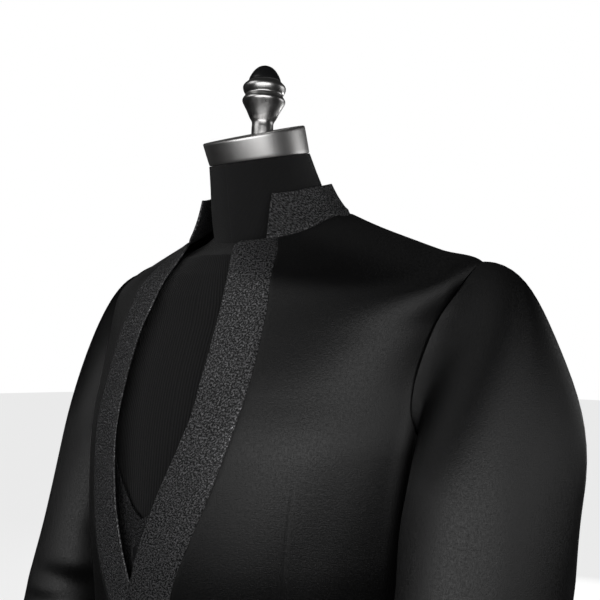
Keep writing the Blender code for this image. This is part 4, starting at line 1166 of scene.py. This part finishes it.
class Nodes:
    """The node tree of a material or of the world, with short ways to add and join nodes.

    An input is given as a value or as the output of another node.
    """

    def __init__(self, owner):
        owner.use_nodes = True
        self.owner, self.nodes, self.links = owner, owner.node_tree.nodes, owner.node_tree.links

    def feed(self, node, inputs):
        for key, value in inputs.items():
            if isinstance(value, bpy.types.NodeSocket):
                self.links.new(value, node.inputs[key])
            else:
                node.inputs[key].default_value = value

    def add(self, kind, inputs, **settings):
        node = self.nodes.new(kind)
        for key, value in settings.items():
            setattr(node, key, value)
        self.feed(node, inputs)
        return node.outputs

    def coordinates(self, kind="UV", scale=(1, 1, 1), turn=0.0):
        where = self.add("ShaderNodeTexCoord", {})[kind]
        inputs = {"Scale": scale, "Rotation": (0, 0, turn), "Vector": where}
        return self.add("ShaderNodeMapping", inputs)["Vector"]

    def noise(self, vector, scale, detail=2.0, roughness=0.6):
        inputs = {"Scale": scale, "Detail": detail, "Roughness": roughness, "Vector": vector}
        return self.add("ShaderNodeTexNoise", inputs)["Fac"]

    def wave(self, vector, scale, distortion=0.0):
        inputs = {"Scale": scale, "Distortion": distortion, "Vector": vector}
        return self.add("ShaderNodeTexWave", inputs, bands_direction="X")["Fac"]

    def ramp(self, value, low, high, from_low=0.0, from_high=1.0):
        inputs = {"From Min": from_low, "From Max": from_high, "To Min": low, "To Max": high, "Value": value}
        return self.add("ShaderNodeMapRange", inputs)["Result"]

    def maths(self, operation, first, second):
        return self.add("ShaderNodeMath", {0: first, 1: second}, operation=operation)["Value"]

    def colours(self, share, first, second):
        first, second = ((*colour, 1) if isinstance(colour, tuple) else colour for colour in (first, second))
        inputs = {"Factor": share, "A": first, "B": second}
        return self.add("ShaderNodeMix", inputs, data_type="RGBA")["Result"]

    def bump(self, height, distance, strength=1.0, normal=None):
        inputs = {"Distance": distance, "Strength": strength, "Height": height}
        if normal is not None:
            inputs["Normal"] = normal
        return self.add("ShaderNodeBump", inputs)["Normal"]

    def set(self, **values):
        """Feeds the inputs of the material's shader."""
        inputs = {key.replace("_", " "): value for key, value in values.items()}
        self.feed(self.nodes["Principled BSDF"], inputs)

    def brush_across(self):
        """Gloss spreads round the body and stays narrow up and down, as on cloth with upright floats."""
        self.set(Tangent=self.add("ShaderNodeTangent", {}, direction_type="UV_MAP", uv_map="cut")["Tangent"])


def material(name):
    return Nodes(bpy.data.materials.new(name))


def suiting():
    """Fine black satin-faced wool: broad soft sheen, a twill too fine to see one thread of."""
    made = material("suiting_satin")
    twill = made.wave(made.coordinates(turn=math.radians(63)), 330.0, distortion=0.4)
    cloud = made.noise(made.coordinates(), 9.0, 3.0, 0.55)
    warp = made.noise(made.coordinates(scale=(900, 300, 1)), 1.0)
    weft = made.noise(made.coordinates(scale=(320, 960, 1)), 1.0)
    slub = made.maths("ADD", made.maths("MULTIPLY", warp, 0.5), made.maths("MULTIPLY", weft, 0.5))
    colour = made.colours(cloud, (0.0022, 0.0022, 0.0024), (0.0034, 0.0034, 0.0036))
    rough = made.maths("ADD", made.ramp(cloud, 0.47, 0.51), made.ramp(slub, -0.16, 0.16, 0.3, 0.7))
    normal = made.bump(twill, 0.00006, 0.35, made.bump(slub, 0.00040, 0.70))
    made.set(Base_Color=colour, Roughness=rough, Normal=normal, Specular_IOR_Level=0.50, Anisotropic=0.84)
    made.brush_across()
    return made.owner


def brocade(name, glint, dark, light):
    """Black figured silk: a fine even grain of raised threads that glint one by one."""
    made = material(name)
    uv = made.coordinates()
    cells = made.add("ShaderNodeTexVoronoi", {"Scale": 620.0, "Vector": uv}, feature="F1")
    spark = made.add("ShaderNodeSeparateColor", {"Color": cells["Color"]})
    grain = made.ramp(made.noise(uv, 560.0), 0.0, 1.0, 0.46, 0.57)
    patch = made.noise(uv, 60.0, 2.0, 0.5)
    lit = made.maths("MULTIPLY", made.ramp(spark["Red"], 0.35, 1.0), grain)
    rough = made.ramp(spark["Green"], 0.30, 0.55)
    height = made.maths("ADD", grain, made.maths("MULTIPLY", spark["Blue"], 0.9))
    height = made.maths("ADD", height, made.maths("MULTIPLY", patch, 0.25))
    made.set(Base_Color=made.colours(lit, dark, light), Metallic=lit, Roughness=rough)
    made.set(Normal=made.bump(height, 0.00025, glint), Specular_IOR_Level=0.40, Anisotropic=0.75)
    made.brush_across()
    return made.owner


def jersey():
    """Ribbed black knit stretched over the form."""
    made = material("form_jersey")
    ribs = made.wave(made.coordinates(), 85.0)
    fuzz = made.noise(made.coordinates(), 900.0)
    colour = made.colours(ribs, (0.0030, 0.0030, 0.0033), (0.0135, 0.0135, 0.014))
    normal = made.bump(ribs, 0.0006, 0.55, made.bump(fuzz, 0.0003, 0.5))
    made.set(Base_Color=colour, Roughness=0.85, Normal=normal)
    made.set(Sheen_Weight=0.08, Sheen_Roughness=0.5, Specular_IOR_Level=0.3)
    return made.owner


def metal(name, dark, light, low, high, grain):
    """Metal with fine brush lines and faint handling marks."""
    made = material(name)
    lines = made.noise(made.coordinates(scale=grain), 1.0, 3.0)
    marks = made.noise(made.coordinates("Object"), 45.0, 3.0)
    colour = made.colours(marks, dark, light)
    rough = made.maths("ADD", made.ramp(lines, low, high), made.ramp(marks, -0.03, 0.05))
    made.set(Base_Color=colour, Roughness=rough, Metallic=1.0, Normal=made.bump(lines, 0.0002, 0.10))
    return made.owner


def finial_look():
    """Worn metal of the knob, its smooth dome on top painted near-black as painted shade."""
    made = material("finial_metal")
    where = made.add("ShaderNodeTexCoord", {})["Object"]
    height = made.add("ShaderNodeSeparateXYZ", {"Vector": where})["Z"]
    top = NECK_POINT_Z + cap_plane(FINIAL_Y) + FINIAL_SHADE_HEIGHT
    # Painted shade: above this height the dome gets a near-black colour and no metal, standing in for the
    # dark surround that its upward faces see
    painted_shade_top = made.ramp(height, 0.0, 1.0, top - FINIAL_SHADE_BLEND, top + FINIAL_SHADE_BLEND)
    marks = made.noise(made.coordinates("Object"), 120.0, 4.0, 0.65)
    body = made.colours(marks, (0.45, 0.445, 0.44), (0.90, 0.89, 0.88))
    rough = made.maths("ADD", made.ramp(marks, 0.20, 0.40), made.ramp(painted_shade_top, 0.0, 0.02))
    # The near-black colour mixed in here is painted shade on the dome's top
    made.set(Base_Color=made.colours(painted_shade_top, body, (0.012, 0.012, 0.013)), Metallic=made.ramp(painted_shade_top, 1.0, 0.0))
    made.set(Roughness=rough, Normal=made.bump(marks, 0.0002, 0.15))
    return made.owner


def button_look():
    """Dark cloth with a fine weave."""
    made = material("button_cover")
    weave = made.noise(made.coordinates(), 1400.0, 2.0, 0.5)
    colour = made.colours(weave, (0.008, 0.008, 0.009), (0.018, 0.018, 0.019))
    made.set(Base_Color=colour, Roughness=0.38, Normal=made.bump(weave, 0.0002, 0.3))
    return made.owner


LOOKS = {
    "suiting": suiting(),
    "brocade": brocade("collar_brocade", 1.0, (0.003, 0.003, 0.0035), (0.24, 0.24, 0.246)),
    "vesting": brocade("waistcoat_brocade", 0.90, (0.003, 0.003, 0.0035), (0.11, 0.11, 0.114)),
    "jersey": jersey(),
    "band": metal("cap_band", (0.80, 0.79, 0.78), (0.90, 0.89, 0.88), 0.34, 0.44, (2, 900, 1)),
    "finial": finial_look(),
    "button": button_look(),
    "stand": metal("stand_steel", (0.030, 0.030, 0.032), (0.050, 0.050, 0.053), 0.34, 0.46, (2, 300, 1)),
}


# Camera, stage and light


def set_at(name, data, right, up, back, place):
    """A camera or a light with these axes at this place."""
    obj = linked(name, data)
    turned = np.eye(4)
    turned[:3, 0], turned[:3, 1], turned[:3, 2], turned[:3, 3] = right, up, back, place
    obj.matrix_world = Matrix(turned.tolist())
    return obj


def place_camera():
    """The camera that was fitted to the photo."""
    yaw, pitch, roll = (math.radians(angle) for angle in (CAMERA_YAW, CAMERA_PITCH, CAMERA_ROLL))
    level = np.array((-math.sin(yaw), math.cos(yaw), 0))
    ahead = level * math.cos(pitch) + np.array((0, 0, math.sin(pitch)))
    right = np.array((math.cos(yaw), math.sin(yaw), 0))
    up = np.cross(right, ahead)
    right, up = right * math.cos(roll) + up * math.sin(roll), up * math.cos(roll) - right * math.sin(roll)
    data = bpy.data.cameras.new("camera")
    data.lens, data.sensor_width = CAMERA_LENS, CAMERA_SENSOR
    data.clip_start, data.clip_end = CAMERA_CLIP
    bpy.context.scene.camera = set_at("camera", data, right, up, -ahead, CAMERA_PLACE)


def area_light(name, azimuth, distance, height, width, tall, power, aim):
    """A soft light at an azimuth counted from the front towards the wearer's left."""
    data = bpy.data.lights.new(name, "AREA")
    data.shape = "RECTANGLE"
    data.size, data.size_y = width, tall
    data.energy = power
    turn = math.radians(azimuth)
    place = np.array((distance * math.sin(turn), -distance * math.cos(turn), height))
    back = unit(place - np.array(aim))
    right = unit(np.cross((0, 0, 1), back))
    set_at(name, data, right, np.cross(back, right), back, place)


def set_stage():
    """A pale floor, a white surround for the camera, and a dim one for everything else."""
    maker = bmesh.new()
    bmesh.ops.create_circle(maker, cap_ends=True, segments=96, radius=FLOOR_RADIUS)
    mesh = bpy.data.meshes.new("floor")
    maker.to_mesh(mesh)
    maker.free()
    floor = linked("floor", mesh)
    floor.location = (0, 0, -FLOOR_DROP)
    made = material("floor_white")
    made.set(Base_Color=(0.82, 0.82, 0.82, 1), Roughness=0.9, Specular_IOR_Level=0.1)
    pale = made.nodes["Principled BSDF"].outputs["BSDF"]
    glow = made.add("ShaderNodeEmission", {"Strength": 1.0})["Emission"]
    dark = made.add("ShaderNodeBsdfDiffuse", {"Color": (0.03, 0.03, 0.03, 1)})["BSDF"]
    seen = made.add("ShaderNodeMixShader", {0: FLOOR_GLOW, 1: pale, 2: glow})["Shader"]
    by_camera = made.add("ShaderNodeLightPath", {})["Is Camera Ray"]
    share = made.add("ShaderNodeMixShader", {0: by_camera, 1: dark, 2: seen})["Shader"]
    made.feed(made.nodes["Material Output"], {"Surface": share})
    mesh.materials.append(made.owner)

    made = Nodes(bpy.data.worlds.new("surround"))
    by_camera = made.add("ShaderNodeLightPath", {})["Is Camera Ray"]
    strength = made.ramp(by_camera, SURROUND_DIM, 1.0)
    made.feed(made.nodes["Background"], {"Strength": strength, "Color": (1, 1, 1, 1)})
    bpy.context.scene.world = made.owner
    bpy.context.scene.view_settings.view_transform = "Standard"


def build():
    place_camera()
    for name, side in (("left", 1), ("right", -1)):
        make_front(name, side)
        make_back(name, side)
        make_waistcoat_front(name, side)
    make_sleeve("left", 1, 0.0)
    make_sleeve("right", -1, SLEEVE_FOLD_SHIFT)
    make_collar()
    make_waistcoat_back()
    make_buttons()
    form_bottom = make_form()
    make_finial()
    make_stand(form_bottom)
    set_stage()
    for light in LIGHTS:
        area_light(*light)


build()
